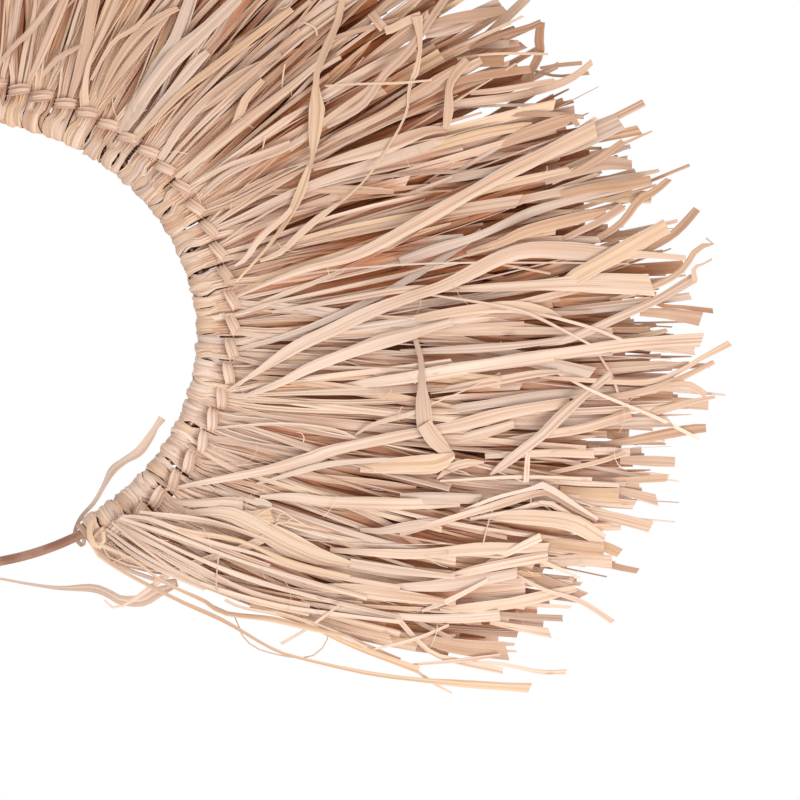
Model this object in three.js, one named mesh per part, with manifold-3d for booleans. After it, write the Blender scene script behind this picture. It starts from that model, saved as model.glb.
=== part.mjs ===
// A raffia wall hanging: an oval wire hoop with raffia bundles folded over it side by side, and two twining
// strands that pass over and under the bundles' necks. The bundles' tails fan outwards in a long fringe, and
// the bottom of the hoop is bare.
// Millimetres, +Z up. The front faces -Y and the wall is at +Y.
// The origin is where the nail holds it, on the inner side of the wrapped hoop at the top.
import * as THREE from "three";
import { mergeVertices } from "three/addons/utils/BufferGeometryUtils.js";
import Module from "manifold-3d";

const wasm = await Module();
wasm.setup();

const { clamp, degToRad, lerp, smoothstep } = THREE.MathUtils;

// The oval hoop, measured to the middle of its wire.
const HOOP_HALF_WIDTH = 104;
const HOOP_HALF_HEIGHT = 92;
const WIRE_RADIUS = 1.9;
const HOOP_STEPS = 60;
const WIRE_SIDES = 6;

// The bundles cover the hoop from this angle below its middle on the right, over the top, to the left.
const COVER_END = degToRad(58.7);
const COVER_SWEEP = Math.PI + 2 * COVER_END;
const BUNDLE_COUNT = 57;

// The fold of a bundle over the wire, with a bore that clears it.
const FOLD_RADIUS = 4.8;
const FOLD_BORE_RADIUS = 2.75;
const FOLD_SIDES = 4;
const FOLD_WIDTH = 7.9;
const FOLD_END = 5.6;
const FOLD_END_HALF_DEPTH = 3.4;

// The neck, from inside the fold to where the locks part. Its section is a diamond, wider than deep.
const NECK_SECTIONS = [
  { distance: 3.6, halfWidth: 2.7, halfDepth: 2.6 },
  { distance: 12, halfWidth: 3.1, halfDepth: 3 },
];

// The two locks of a bundle, from their belly to their tips: the half depths at their ridges, the valley between
// them as a share of those, how far the notch between the tips is cut back, and how unequal the tips are.
const LOCK_BELLY = 92;
const LOCK_BELLY_FRONT = 15;
const LOCK_BELLY_BACK = 12;
const LOCK_TIP_FRONT = 9;
const LOCK_TIP_BACK = 8;
const LOCK_DEPTH_SPREAD = 2.5;
const RIDGE_SHARE = 0.5;
const BELLY_VALLEY = 0.62;
const TIP_VALLEY = 0.6;
const NOTCH_SHALLOW = 9;
const NOTCH_DEEP = 17;
const TIP_CUT = 11;
const BUNDLE_GAP = 0.4;

// The fringe's length from the wire: shorter above, longer to the sides and below.
const UPPER_LENGTH = 177;
const LOWER_LENGTH = 205;
const LENGTHEN_FROM = degToRad(40);
const LENGTHEN_TO = degToRad(-12);

// How the tails turn as they leave the hoop. Above the middle they droop a little from its normal, and below
// it they are swept up soon after the neck and come level towards the tips.
const DROOP = degToRad(12);
const SWEEP_START = 10;
const SWEEP_END = 16;
const SWEEP_SHARE = 0.55;
const LEVELLING_POWER = 1.5;
const FLOW_STEP = 3;

// The twining strands, which pass each other between any two necks.
const TWINE_LINE = 8.8;
const TWINE_WIDTH = 2.4;
const TWINE_THICKNESS = 1.6;
const TWINE_REACH = 4.4;
const TWINE_CROSSING = 1.4;

// The loose ends of the twining strands, from the hoop's middle, on the right: one curls into the opening,
// the other doubles back below the bare wire. Those on the left are mirrored and cut short.
const CURLED_END = [
  [52.6, 3.6, -84.3], [49.4, 4.6, -80], [51.6, 3.6, -73.4], [57.6, 1.5, -66.6], [62, 0, -60],
  [66, -1, -53.5], [76, -2, -45.8], [85.2, -2.5, -33],
];
const TRAILING_END = [
  [62.4, 1.8, -93.8], [70, 3, -100], [77.5, 4, -103.6], [79.2, 4.5, -107.2], [75, 4.5, -109.2],
  [65, 4, -106], [54, 3, -100.8], [42, 2, -101.4], [20, 1, -97.4],
];
const SHORT_END_POINTS = 3;

const HOOP_MIDDLE = new THREE.Vector3(0, 0, FOLD_RADIUS - HOOP_HALF_HEIGHT);

const raffia = new THREE.MeshStandardMaterial({ color: 0xcdac96, roughness: 0.7, metalness: 0 });
const twine = new THREE.MeshStandardMaterial({ color: 0xd7b7a3, roughness: 0.65, metalness: 0 });
const copperWire = new THREE.MeshStandardMaterial({ color: 0xa8887b, roughness: 0.32, metalness: 0.9 });

// A fixed sequence of numbers between 0 and 1, so that the locks come out alike every time.
function numberSequence(seed) {
  let state = seed;
  return () => {
    state = (state * 1664525 + 1013904223) % 4294967296;
    return state / 4294967296;
  };
}

// The covered part of the hoop. Place 0 is its right end and place 1 its left end, by length along the wire.
const coveredArc = new THREE.EllipseCurve(
  0, 0, HOOP_HALF_WIDTH, HOOP_HALF_HEIGHT, -COVER_END, COVER_SWEEP - COVER_END, false, 0,
);
coveredArc.arcLengthDivisions = 800;

// The wire at a place on the covered part: its point, its outward normal and the way along it, in the plane.
function wireAt(place) {
  const angle = coveredArc.getUtoTmapping(place) * COVER_SWEEP - COVER_END;
  const outward = new THREE.Vector2(
    Math.cos(angle) / HOOP_HALF_WIDTH, Math.sin(angle) / HOOP_HALF_HEIGHT,
  ).normalize();
  const point = new THREE.Vector2(HOOP_HALF_WIDTH * Math.cos(angle), HOOP_HALF_HEIGHT * Math.sin(angle));
  return { point, outward, along: new THREE.Vector2(-outward.y, outward.x) };
}

// The fringe's length where the hoop's normal has this angle above the horizontal.
function fringeLength(normalAngle) {
  return lerp(LOWER_LENGTH, UPPER_LENGTH, smoothstep(normalAngle, LENGTHEN_TO, LENGTHEN_FROM));
}

// The direction of the tails at a distance from the wire, as an angle above the horizontal.
function tailAngle(normalAngle, distance) {
  const share = clamp((distance - SWEEP_END) / (fringeLength(normalAngle) - SWEEP_END), 0, 1);
  if (normalAngle >= 0) return normalAngle - DROOP * Math.sin(2 * normalAngle) * share;
  const swept = 1 - SWEEP_SHARE * smoothstep(distance, SWEEP_START, SWEEP_END);
  return normalAngle * swept * (1 - share ** LEVELLING_POWER);
}

// The point that a tail leaving the wire at a place has reached at a distance, in the plane of the hoop.
function tailPoint(place, distance) {
  if (place > 0.5) {
    const mirrored = tailPoint(1 - place, distance);
    return mirrored.setX(-mirrored.x);
  }
  const { point, outward } = wireAt(place);
  const normalAngle = outward.angle() > Math.PI ? outward.angle() - 2 * Math.PI : outward.angle();
  const steps = Math.max(1, Math.ceil(distance / FLOW_STEP));
  const step = distance / steps;
  for (let i = 0; i < steps; i++) {
    const angle = tailAngle(normalAngle, (i + 0.5) * step);
    point.add(new THREE.Vector2(step * Math.cos(angle), step * Math.sin(angle)));
  }
  return point;
}

// A point in the hoop's plane, at a depth behind the plane.
function inSpace(flat, depth) {
  return new THREE.Vector3(flat.x, depth, flat.y);
}

// A bar through a row of sections, each side split into equal parts: pointAt(section, across, deep) gives the
// point of a section whose place in it runs from -1 to 1 both ways.
function barThrough(sections, splits, pointAt) {
  const spans = sections.length - 1;
  const bar = new THREE.BoxGeometry(2, 2, spans, splits, splits, spans);
  const position = bar.getAttribute("position");
  for (let i = 0; i < position.count; i++) {
    const section = sections[Math.round(position.getZ(i) + spans / 2)];
    const point = pointAt(section, Math.round(position.getX(i)), Math.round(position.getY(i)));
    position.setXYZ(i, point.x, point.y, point.z);
  }
  return bar;
}

// The solid that a closed geometry bounds, with its faces turned outwards.
function solidFrom(geometry) {
  const bare = new THREE.BufferGeometry();
  bare.setAttribute("position", geometry.getAttribute("position"));
  if (geometry.index) bare.setIndex(geometry.index);
  const merged = mergeVertices(bare, 1e-3);
  const vertProperties = merged.getAttribute("position").array;
  const triVerts = Uint32Array.from(merged.index.array);
  const solid = new wasm.Manifold(new wasm.Mesh({ numProp: 3, vertProperties, triVerts }));
  if (solid.volume() > 0) return solid;
  return new wasm.Manifold(new wasm.Mesh({ numProp: 3, vertProperties, triVerts: triVerts.reverse() }));
}

// A named mesh of a solid.
function meshOf(name, solid, material) {
  const { vertProperties, triVerts } = solid.getMesh();
  const geometry = new THREE.BufferGeometry();
  geometry.setAttribute("position", new THREE.BufferAttribute(vertProperties, 3));
  geometry.setIndex(new THREE.BufferAttribute(triVerts, 1));
  geometry.computeVertexNormals();
  const mesh = new THREE.Mesh(geometry, material);
  mesh.name = name;
  return mesh;
}

// The hoop: a torus whose ring is laid along the oval, so that the wire's section stays round.
function makeHoop() {
  const ringRadius = HOOP_HALF_HEIGHT;
  const ring = new THREE.TorusGeometry(ringRadius, WIRE_RADIUS, WIRE_SIDES, HOOP_STEPS);
  const position = ring.getAttribute("position");
  for (let i = 0; i < position.count; i++) {
    const around = new THREE.Vector2(position.getX(i), position.getY(i));
    const outwards = around.length() - ringRadius;
    const angle = around.angle();
    const flat = new THREE.Vector2(Math.cos(angle) / HOOP_HALF_WIDTH, Math.sin(angle) / HOOP_HALF_HEIGHT);
    flat.setLength(outwards);
    flat.x += HOOP_HALF_WIDTH * Math.cos(angle);
    flat.y += HOOP_HALF_HEIGHT * Math.sin(angle);
    position.setXYZ(i, flat.x, position.getZ(i), flat.y);
  }
  return meshOf("wire_hoop", solidFrom(ring), copperWire);
}

// Points along an arc about the middle of the wire, as distance and depth.
function arcPoints(radius, from, to, segments) {
  return Array.from({ length: segments + 1 }, (_, i) => {
    const angle = lerp(from, to, i / segments);
    return new THREE.Vector2(radius * Math.cos(angle), radius * Math.sin(angle));
  });
}

// The fold of a bundle: a sleeve on the wire, drawn in towards its neck.
function makeFold(place) {
  const profile = new THREE.Shape([
    new THREE.Vector2(FOLD_END, -FOLD_END_HALF_DEPTH),
    new THREE.Vector2(FOLD_END, FOLD_END_HALF_DEPTH),
    ...arcPoints(FOLD_RADIUS, degToRad(80), degToRad(280), FOLD_SIDES),
  ]);
  profile.holes.push(new THREE.Path(arcPoints(FOLD_BORE_RADIUS, 0, 2 * Math.PI, WIRE_SIDES).slice(1)));
  const fold = new THREE.ExtrudeGeometry(profile, { depth: 1, bevelEnabled: false });
  const position = fold.getAttribute("position");
  const { point, along, outward } = wireAt(place);
  for (let i = 0; i < position.count; i++) {
    const flat = point.clone().addScaledVector(outward, position.getX(i));
    flat.addScaledVector(along, FOLD_WIDTH * (position.getZ(i) - 0.5));
    position.setXYZ(i, flat.x, position.getY(i), flat.y);
  }
  return solidFrom(fold);
}

// A section of a bundle's neck, a diamond across the bundle's own line.
function neckSection(place, { distance, halfWidth, halfDepth }) {
  const { along } = wireAt(place);
  return (across, deep) => {
    const bothWays = across !== 0 && deep !== 0 ? 0.5 : 1;
    const flat = tailPoint(place, distance).addScaledVector(along, across * bothWays * halfWidth);
    return inSpace(flat, deep * bothWays * halfDepth);
  };
}

// The fringe's line from a place on the wire, straight from the belly of the locks to the full length.
function lockPoint(place, reach) {
  const full = fringeLength(Math.asin(wireAt(place).outward.y));
  const share = (reach - LOCK_BELLY) / (full - LOCK_BELLY);
  return tailPoint(place, LOCK_BELLY).lerp(tailPoint(place, full), share);
}

// A section of a bundle's two locks, each a ridge in front and behind, with a valley between them. Its lines
// run out to the reach of the lock on their side, and the valley to a reach of its own.
function lockSection(place, { reaches, valleyReach, front, back, valleyDepth }) {
  const half = 0.5 / BUNDLE_COUNT;
  return (across, deep) => {
    const reach = across === 0 ? valleyReach : reaches[across < 0 ? 0 : 1];
    const outer = lockPoint(place + across * half, reach);
    const inner = lockPoint(place, reach);
    const width = outer.distanceTo(inner);
    const share = deep === 0 ? 1 - BUNDLE_GAP / 2 / width : RIDGE_SHARE;
    const flat = across === 0 ? inner : inner.lerp(outer, share);
    const depth = deep < 0 ? front : back;
    return inSpace(flat, deep * depth * (across === 0 ? valleyDepth : 1));
  };
}

// One bundle: the fold, the neck and two locks with ragged tips.
function makeBundle(index) {
  const place = (index + 0.5) / BUNDLE_COUNT;
  const random = numberSequence(1000 + 37 * index);
  const extra = LOCK_DEPTH_SPREAD * (2 * random() - 1);
  const full = fringeLength(Math.asin(wireAt(place).outward.y));
  const tipReaches = [full - TIP_CUT * random(), full - TIP_CUT * random()];
  const belly = {
    reaches: [LOCK_BELLY, LOCK_BELLY],
    valleyReach: LOCK_BELLY,
    front: LOCK_BELLY_FRONT + extra,
    back: LOCK_BELLY_BACK - extra,
    valleyDepth: BELLY_VALLEY,
  };
  const tip = {
    reaches: tipReaches,
    valleyReach: full - lerp(NOTCH_SHALLOW, NOTCH_DEEP, random()),
    front: LOCK_TIP_FRONT + extra,
    back: LOCK_TIP_BACK - extra,
    valleyDepth: TIP_VALLEY,
  };
  const sections = [
    ...NECK_SECTIONS.map((section) => neckSection(place, section)),
    lockSection(place, belly),
    lockSection(place, tip),
  ];
  const tail = solidFrom(barThrough(sections, 2, (section, across, deep) => section(across, deep)));
  return meshOf(`raffia_bundle_${String(index + 1).padStart(2, "0")}`, makeFold(place).add(tail), raffia);
}

// The line of a twining strand: in front of one neck, between it and the next, and behind that one.
function twiningLine(startPhase) {
  return Array.from({ length: 2 * BUNDLE_COUNT + 1 }, (_, half) => {
    const { point, outward } = wireAt(half / (2 * BUNDLE_COUNT));
    const phase = startPhase + (half * Math.PI) / 2;
    const flat = point.addScaledVector(outward, TWINE_LINE + TWINE_CROSSING * Math.cos(phase));
    return inSpace(flat, -TWINE_REACH * Math.sin(phase));
  });
}

// One twining strand: a flat strip that keeps its broad side to the front or the back.
function makeTwiningStrand(name, startPhase, rightEnd, leftEnd) {
  const toPoint = ([x, y, z]) => new THREE.Vector3(x, y, z);
  const leftPoints = leftEnd.slice(0, SHORT_END_POINTS).map(([x, y, z]) => toPoint([-x, y, z]));
  const line = [...rightEnd.map(toPoint).reverse(), ...twiningLine(startPhase), ...leftPoints];
  const depthAxis = new THREE.Vector3(0, 1, 0);
  const stations = line.map((_, station) => station);
  const strip = barThrough(stations, 1, (station, across, deep) => {
    const before = line[Math.max(station - 1, 0)];
    const after = line[Math.min(station + 1, line.length - 1)];
    const along = after.clone().sub(before).normalize();
    const wide = new THREE.Vector3().crossVectors(along, depthAxis).setLength(TWINE_WIDTH / 2);
    const thick = new THREE.Vector3().crossVectors(wide, along).setLength(TWINE_THICKNESS / 2);
    return line[station].clone().addScaledVector(wide, across).addScaledVector(thick, deep);
  });
  return meshOf(name, solidFrom(strip), twine);
}

const hanging = new THREE.Group();
const hoopPlane = new THREE.Group();
hoopPlane.position.copy(HOOP_MIDDLE);
hanging.add(hoopPlane);
hoopPlane.add(makeHoop());
hoopPlane.add(makeTwiningStrand("twining_strand_1", Math.PI, CURLED_END, TRAILING_END));
hoopPlane.add(makeTwiningStrand("twining_strand_2", 0, TRAILING_END, CURLED_END));
for (let index = 0; index < BUNDLE_COUNT; index++) hoopPlane.add(makeBundle(index));

export default hanging;
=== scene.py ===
"""Raffia wall hanging: raffia bundles folded over a wire hoop, twined in place, with a long loose fringe.

Shapes are worked out in millimetres and are written to the meshes in metres.
"""

import logging
import math
from dataclasses import dataclass, field
from enum import Enum
from typing import Any

import bmesh
import bpy
import numpy as np
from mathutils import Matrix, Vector


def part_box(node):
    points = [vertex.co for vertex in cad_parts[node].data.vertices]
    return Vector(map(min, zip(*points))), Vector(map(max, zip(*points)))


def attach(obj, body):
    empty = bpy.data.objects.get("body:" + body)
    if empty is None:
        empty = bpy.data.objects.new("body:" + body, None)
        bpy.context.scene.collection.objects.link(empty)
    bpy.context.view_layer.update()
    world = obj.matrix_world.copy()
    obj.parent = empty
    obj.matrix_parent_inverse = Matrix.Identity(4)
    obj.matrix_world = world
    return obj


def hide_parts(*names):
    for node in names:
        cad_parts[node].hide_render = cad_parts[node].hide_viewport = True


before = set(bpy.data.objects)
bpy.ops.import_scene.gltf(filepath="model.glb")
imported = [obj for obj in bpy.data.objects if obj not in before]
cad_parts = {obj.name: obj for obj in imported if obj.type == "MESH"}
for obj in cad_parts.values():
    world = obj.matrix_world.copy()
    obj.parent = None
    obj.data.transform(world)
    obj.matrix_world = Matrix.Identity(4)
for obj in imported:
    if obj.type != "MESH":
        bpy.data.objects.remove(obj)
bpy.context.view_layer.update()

LOG = logging.getLogger("raffia_wall_hanging")
MM = 0.001
TINY = 1e-9
BODY = "root"
Array = np.ndarray
Colour = tuple[float, float, float, float]
Span = tuple[float, float]
Triple = tuple[float, float, float]
Stops = tuple[tuple[float, Triple], ...]
# Width in metres of one strip's cell in the "strip" UV map
CELL = 0.02


def smooth_rise(value: Array, start: float, end: float) -> Array:
    """Rises smoothly from 0 at start to 1 at end.

    Args:
        value: The numbers to look up.
        start: Where the rise begins.
        end: Where the rise is complete.

    Returns:
        Shares from 0 to 1, in the shape of value.
    """
    share = np.clip((np.asarray(value, float) - start) / (end - start), 0.0, 1.0)
    return share * share * (3.0 - 2.0 * share)


def unit(vectors: Array) -> Array:
    """Vectors along the last axis, scaled to length 1."""
    return vectors / np.maximum(np.linalg.norm(vectors, axis=-1, keepdims=True), TINY)


def turned(directions: Array) -> Array:
    """Directions with x and z last, turned a quarter within the hoop's plane."""
    return np.stack([-directions[..., 1], directions[..., 0]], -1)


def in_space(flat: Array, depth: Any = 0.0) -> Array:
    """Adds y to points or directions that have x and z last."""
    return np.stack([flat[..., 0], np.broadcast_to(depth, flat.shape[:-1]), flat[..., 1]], -1)


class Slot(Enum):
    """The record's material slots."""

    RAFFIA = "raffia"
    WIRE = "copper_wire"


# Shader building


@dataclass
class Signal:
    """One output socket in a node tree, which Python expressions extend with Math nodes."""

    tree: "Shade"
    socket: bpy.types.NodeSocket | None

    def _math(self, operation: str, first: Any, second: Any = 0.0) -> "Signal":
        """A Math node on two values or signals."""
        return self.tree.node("ShaderNodeMath", {"operation": operation}, {0: first, 1: second})

    def __add__(self, other: Any) -> "Signal":
        """Sum."""
        return self._math("ADD", self, other)

    __radd__ = __add__

    def __sub__(self, other: Any) -> "Signal":
        """Difference."""
        return self._math("SUBTRACT", self, other)

    def __rsub__(self, other: Any) -> "Signal":
        """Difference from a number."""
        return self._math("SUBTRACT", other, self)

    def __mul__(self, other: Any) -> "Signal":
        """Product."""
        return self._math("MULTIPLY", self, other)

    __rmul__ = __mul__

    def __truediv__(self, other: Any) -> "Signal":
        """Quotient."""
        return self._math("DIVIDE", self, other)

    def __rtruediv__(self, other: Any) -> "Signal":
        """Quotient of a number."""
        return self._math("DIVIDE", other, self)

    def floor(self) -> "Signal":
        """Whole part."""
        return self._math("FLOOR", self)

    def over(self, low: float, high: float) -> "Signal":
        """A mask that rises smoothly from 0 at low to 1 at high."""
        settings = {"interpolation_type": "SMOOTHSTEP"}
        return self.tree.node("ShaderNodeMapRange", settings, {"Value": self, "From Min": low, "From Max": high})


class Shade:
    """The node tree of a material or of the world, with every node made by one method."""

    def __init__(self, owner: bpy.types.Material | bpy.types.World) -> None:
        """Starts an empty tree.

        Args:
            owner: The material or the world.
        """
        self.owner = owner
        owner.use_nodes = True
        owner.node_tree.nodes.clear()

    def node(self, kind: str, settings: dict[str, Any], sockets: dict[Any, Any], output: Any = 0) -> Signal:
        """Makes one node.

        Args:
            kind: The node's type.
            settings: Its own settings, and a ramp's stops under "stops".
            sockets: Values or signals for its input sockets.
            output: The output socket to return.

        Returns:
            The output as a signal.
        """
        made = self.owner.node_tree.nodes.new(kind)
        for key, value in settings.items():
            if key == "stops":
                self._set_stops(made.color_ramp, value)
            else:
                setattr(made, key, value)
        for key, value in sockets.items():
            if isinstance(value, Signal):
                self.owner.node_tree.links.new(value.socket, made.inputs[key])
            else:
                made.inputs[key].default_value = value
        return Signal(self, made.outputs[output] if made.outputs else None)

    @staticmethod
    def _set_stops(ramp: bpy.types.ColorRamp, stops: Stops) -> None:
        """Gives a colour ramp its stops.

        Args:
            ramp: The ramp.
            stops: Place and linear colour of each stop, in order.
        """
        while len(ramp.elements) < len(stops):
            ramp.elements.new(1.0)
        for element, (place, colour) in zip(ramp.elements, stops):
            element.position = place
            element.color = (*colour, 1.0)

    def mix(self, factor: Any, first: Any, second: Any, blend: str = "MIX") -> Signal:
        """The first colour or signal, mixed with a share of the second."""
        settings = {"data_type": "RGBA", "blend_type": blend}
        return self.node("ShaderNodeMix", settings, {"Factor": factor, 6: first, 7: second}, 2)

    def noise(self, place: Any, scale: float, detail: float, rough: float = 0.5) -> Signal:
        """Noise around 0.5."""
        sockets = {"Vector": place, "Scale": scale, "Detail": detail, "Roughness": rough}
        return self.node("ShaderNodeTexNoise", {}, sockets)

    def grain(self, strip: Signal, along: tuple[Signal, Signal], scales: Span, *levels: float) -> Signal:
        """Noise along each strip, with the strip's number as its third coordinate."""
        sockets = {0: along[0] * scales[0], 1: along[1] * scales[1], 2: strip}
        return self.noise(self.node("ShaderNodeCombineXYZ", {}, sockets), 1.0, *levels)

    def parts(self, uv_map: str) -> list[Signal]:
        """Both parts of a UV map."""
        place = self.node("ShaderNodeUVMap", {"uv_map": uv_map}, {})
        return [self.node("ShaderNodeSeparateXYZ", {}, {"Vector": place}, part) for part in (0, 1)]

    def bump(self, height: Signal, strength: float, distance: float) -> Signal:
        """A normal bent by a height."""
        return self.node("ShaderNodeBump", {}, {"Strength": strength, "Distance": distance, "Height": height})

    def close(self, surface: dict[str, Any]) -> bpy.types.Material:
        """Ends the tree in a Principled shader with these sockets, and gives the material."""
        shader = self.node("ShaderNodeBsdfPrincipled", {}, surface)
        self.node("ShaderNodeOutputMaterial", {}, {"Surface": shader})
        return self.owner


def grey(level: float) -> Colour:
    """A neutral linear colour."""
    return (level, level, level, 1.0)


@dataclass(frozen=True)
class RaffiaFinish:
    """Dried raffia leaf: peach to brown strips with fine lengthwise fibres and brown stains, painted highlights along
    their edges, and painted shade where they lie below the fringe's surface.

    Reads three UV maps. In "strip" each strip has its own cell of u, and v runs along it, in metres.
    In "span" x runs from -1 to 1 across the strip, and y is its hue from silvery, -1, to golden, 1.
    In "lie" x is the strip's tone from dark to light, which already holds painted light and shade by place, and y is
    the share of painted shade for how far it lies within the fringe, from 0 to 1.
    """

    name: str
    stops: Stops = (
        (0.0, (0.30, 0.125, 0.06)),
        (0.25, (0.47, 0.26, 0.155)),
        (0.45, (0.60, 0.385, 0.265)),
        (0.65, (0.71, 0.50, 0.37)),
        (0.82, (0.785, 0.585, 0.46)),
        (1.0, (0.855, 0.68, 0.555)),
    )
    golden: Colour = (0.76, 0.52, 0.32, 1.0)
    silvery: Colour = (0.63, 0.49, 0.41, 1.0)
    painted_shade_colour: Colour = (0.85, 0.46, 0.27, 1.0)
    line: Colour = (0.43, 0.20, 0.105, 1.0)
    stain: Colour = (0.33, 0.17, 0.09, 1.0)
    # Colour of the pale fibres, and of the painted highlight along each strip's edges
    pale_fibre_and_edge_highlight: Colour = (0.91, 0.73, 0.61, 1.0)
    fibre_scales: Span = (1450.0, 10.0)
    pleat_scales: Span = (720.0, 6.0)
    blotch_scales: Span = (90.0, 30.0)
    stain_scales: Span = (260.0, 60.0)
    blotchiness: float = 0.34
    hue_share: float = 0.75
    line_share: float = 0.4
    groove_share: float = 0.38
    edge_highlight_share: float = 0.28
    stain_share: float = 0.45
    hue_levels: Span = (0.05, 1.0)
    line_levels: Span = (0.46, 0.37)
    bright_levels: Span = (0.57, 0.74)
    edge_highlight_levels: Span = (0.76, 0.96)
    stain_levels: Span = (0.69, 0.8)
    pleat_relief: float = 0.65
    relief: float = 0.0006

    def material(self) -> bpy.types.Material:
        """Builds the material.

        Returns:
            The finished material.
        """
        shade = Shade(bpy.data.materials.new(self.name))
        (u, v), (breadth, hue), (tone, painted_shade_depth) = (shade.parts(uv_map) for uv_map in ("strip", "span", "lie"))
        strip = (u / CELL).floor()
        fibres = shade.grain(strip, (u, v), self.fibre_scales, 3.0, 0.6)
        pleats = shade.grain(strip, (u, v), self.pleat_scales, 1.0)
        blotches = shade.grain(strip * 3.1, (u, v), self.blotch_scales, 2.0)
        stains = shade.grain(strip * 1.7, (u, v), self.stain_scales, 2.0)
        level = tone + blotches * self.blotchiness - self.blotchiness / 2
        colour = shade.node("ShaderNodeValToRGB", {"stops": self.stops}, {"Fac": level})
        low, high = self.hue_levels
        for mask, share, laid in (
            (hue.over(low, high), self.hue_share, self.golden),
            (hue.over(-low, -high), self.hue_share, self.silvery),
            (fibres.over(*self.line_levels), self.line_share, self.line),
            (pleats.over(*self.line_levels), self.groove_share, self.line),
            (fibres.over(*self.bright_levels), self.line_share, self.pale_fibre_and_edge_highlight),
            # Pale bands along both edges of each strip: painted highlights
            ((breadth * breadth).over(*self.edge_highlight_levels), self.edge_highlight_share, self.pale_fibre_and_edge_highlight),
            (stains.over(*self.stain_levels), self.stain_share, self.stain),
        ):
            colour = shade.mix(mask * share, colour, laid)
        surface = {
            # Strips that lie below the fringe's surface are multiplied toward red-brown: painted shade
            "Base Color": shade.mix(painted_shade_depth, colour, self.painted_shade_colour, "MULTIPLY"),
            "Roughness": 0.64 - fibres * 0.22,
            "Specular IOR Level": 0.15,
            "Normal": shade.bump(fibres * (1.0 - self.pleat_relief) + pleats * self.pleat_relief, 1.0, self.relief),
        }
        return shade.close(surface)


@dataclass(frozen=True)
class CopperFinish:
    """Copper-coloured coating on steel wire, browned unevenly, with fine drawing marks."""

    name: str
    browned: Colour = (0.34, 0.17, 0.115, 1.0)
    coppery: Colour = (0.50, 0.29, 0.215, 1.0)
    drawn: Colour = (0.20, 0.09, 0.06, 1.0)
    cloud_scale: float = 60.0
    mark_scale: float = 900.0
    mark_share: float = 0.35
    mark_relief: float = 0.0001

    def material(self) -> bpy.types.Material:
        """Builds the material.

        Returns:
            The finished material.
        """
        shade = Shade(bpy.data.materials.new(self.name))
        place = shade.node("ShaderNodeTexCoord", {}, {}, "Object")
        cloud, marks = shade.noise(place, self.cloud_scale, 4.0), shade.noise(place, self.mark_scale, 2.0)
        colour = shade.mix(cloud.over(0.42, 0.62), self.browned, self.coppery)
        surface = {
            "Base Color": shade.mix(marks.over(0.6, 0.75) * self.mark_share, colour, self.drawn),
            "Metallic": 0.85,
            "Roughness": 0.26 + cloud * 0.2,
            "Normal": shade.bump(marks, 0.4, self.mark_relief),
        }
        return shade.close(surface)


@dataclass(frozen=True)
class FloorFinish:
    """Plain pale floor, which glows a little so that it looks as white as the surround."""

    name: str

    def material(self) -> bpy.types.Material:
        """Builds the material."""
        surface = {"Base Color": grey(0.9), "Roughness": 0.8, "Emission Color": grey(1.0), "Emission Strength": 0.2}
        return Shade(bpy.data.materials.new(self.name)).close(surface)


# Objects


def add_object(name: str, data: bpy.types.ID) -> bpy.types.Object:
    """Puts an object with its data in the scene."""
    made = bpy.data.objects.new(name, data)
    bpy.context.scene.collection.objects.link(made)
    return made


def add_piece(
    name: str, mesh: bpy.types.Mesh, material: bpy.types.Material, nodes: tuple[str, ...]
) -> None:
    """Puts a finished piece of the hanging in the scene.

    Args:
        name: The piece's name.
        mesh: Its mesh.
        material: Its finish.
        nodes: The CAD nodes it stands for, if any.
    """
    mesh.materials.append(material)
    piece = add_object(name, mesh)
    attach(piece, BODY)
    if nodes:
        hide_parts(*nodes)
    LOG.info("%s: %d faces", name, len(mesh.polygons))


# Where things lie


@dataclass(frozen=True)
class Photograph:
    """The photograph's camera: straight on, aimed at one point of the hoop's plane."""

    side: int = 800
    pixels_per_mm: float = 2.5
    aim_x: float = 180.0
    aim_z: float = -113.0
    distance: float = 1000.0

    def point(self, column: Array, row: Array, depth: Array) -> tuple[Array, Array, Array]:
        """The x, y and z in mm of what shows at a pixel and lies at a depth, negative in front of the hoop."""
        shrink = (self.distance + depth) / self.distance / self.pixels_per_mm
        return (self.aim_x + (column - self.side / 2) * shrink, depth, self.aim_z - (row - self.side / 2) * shrink)


@dataclass
class HoopLine:
    """The wire's oval line, and the part of it that the bundles cover, by arc length."""

    wire_radius: float = 1.9
    cover_end: float = math.radians(58.7)
    samples: int = 2001
    half_width: float = field(init=False)
    half_height: float = field(init=False)
    middle_z: float = field(init=False)

    def __post_init__(self) -> None:
        """Reads the oval from the CAD hoop."""
        low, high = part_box("wire_hoop")
        self.half_width = (high.x - low.x) / 2 / MM - self.wire_radius
        self.half_height = (high.z - low.z) / 2 / MM - self.wire_radius
        self.middle_z = (high.z + low.z) / 2 / MM
        angles = np.linspace(-self.cover_end, math.pi + self.cover_end, self.samples)
        x, z = self.half_width * np.cos(angles), self.half_height * np.sin(angles)
        steps = np.hypot(np.diff(x), np.diff(z))
        self._angles = angles
        self.covered_length = float(steps.sum())
        self._places = np.concatenate([[0.0], np.cumsum(steps)]) / self.covered_length

    def around(self, angle: Array) -> tuple[Array, Array]:
        """The oval at angles round its middle.

        Args:
            angle: The angles in radians.

        Returns:
            Points and outward directions, each with x and z last.
        """
        right, up = np.cos(angle), np.sin(angle)
        outward = unit(np.stack([right / self.half_width, up / self.half_height], -1))
        return np.stack([self.half_width * right, self.middle_z + self.half_height * up], -1), outward

    def at(self, place: Array) -> tuple[Array, Array, Array]:
        """The wire at places from 0, its covered part's right end, to 1, its left end.

        Args:
            place: The places.

        Returns:
            Points, outward directions and directions along the wire, each with x and z last.
        """
        inside = np.clip(place, 0.0, 1.0)
        point, outward = self.around(np.interp(inside, self._places, self._angles))
        along = turned(outward)
        beyond = (np.asarray(place) - inside) * self.covered_length
        return point + along * beyond[..., None], outward, along


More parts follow.
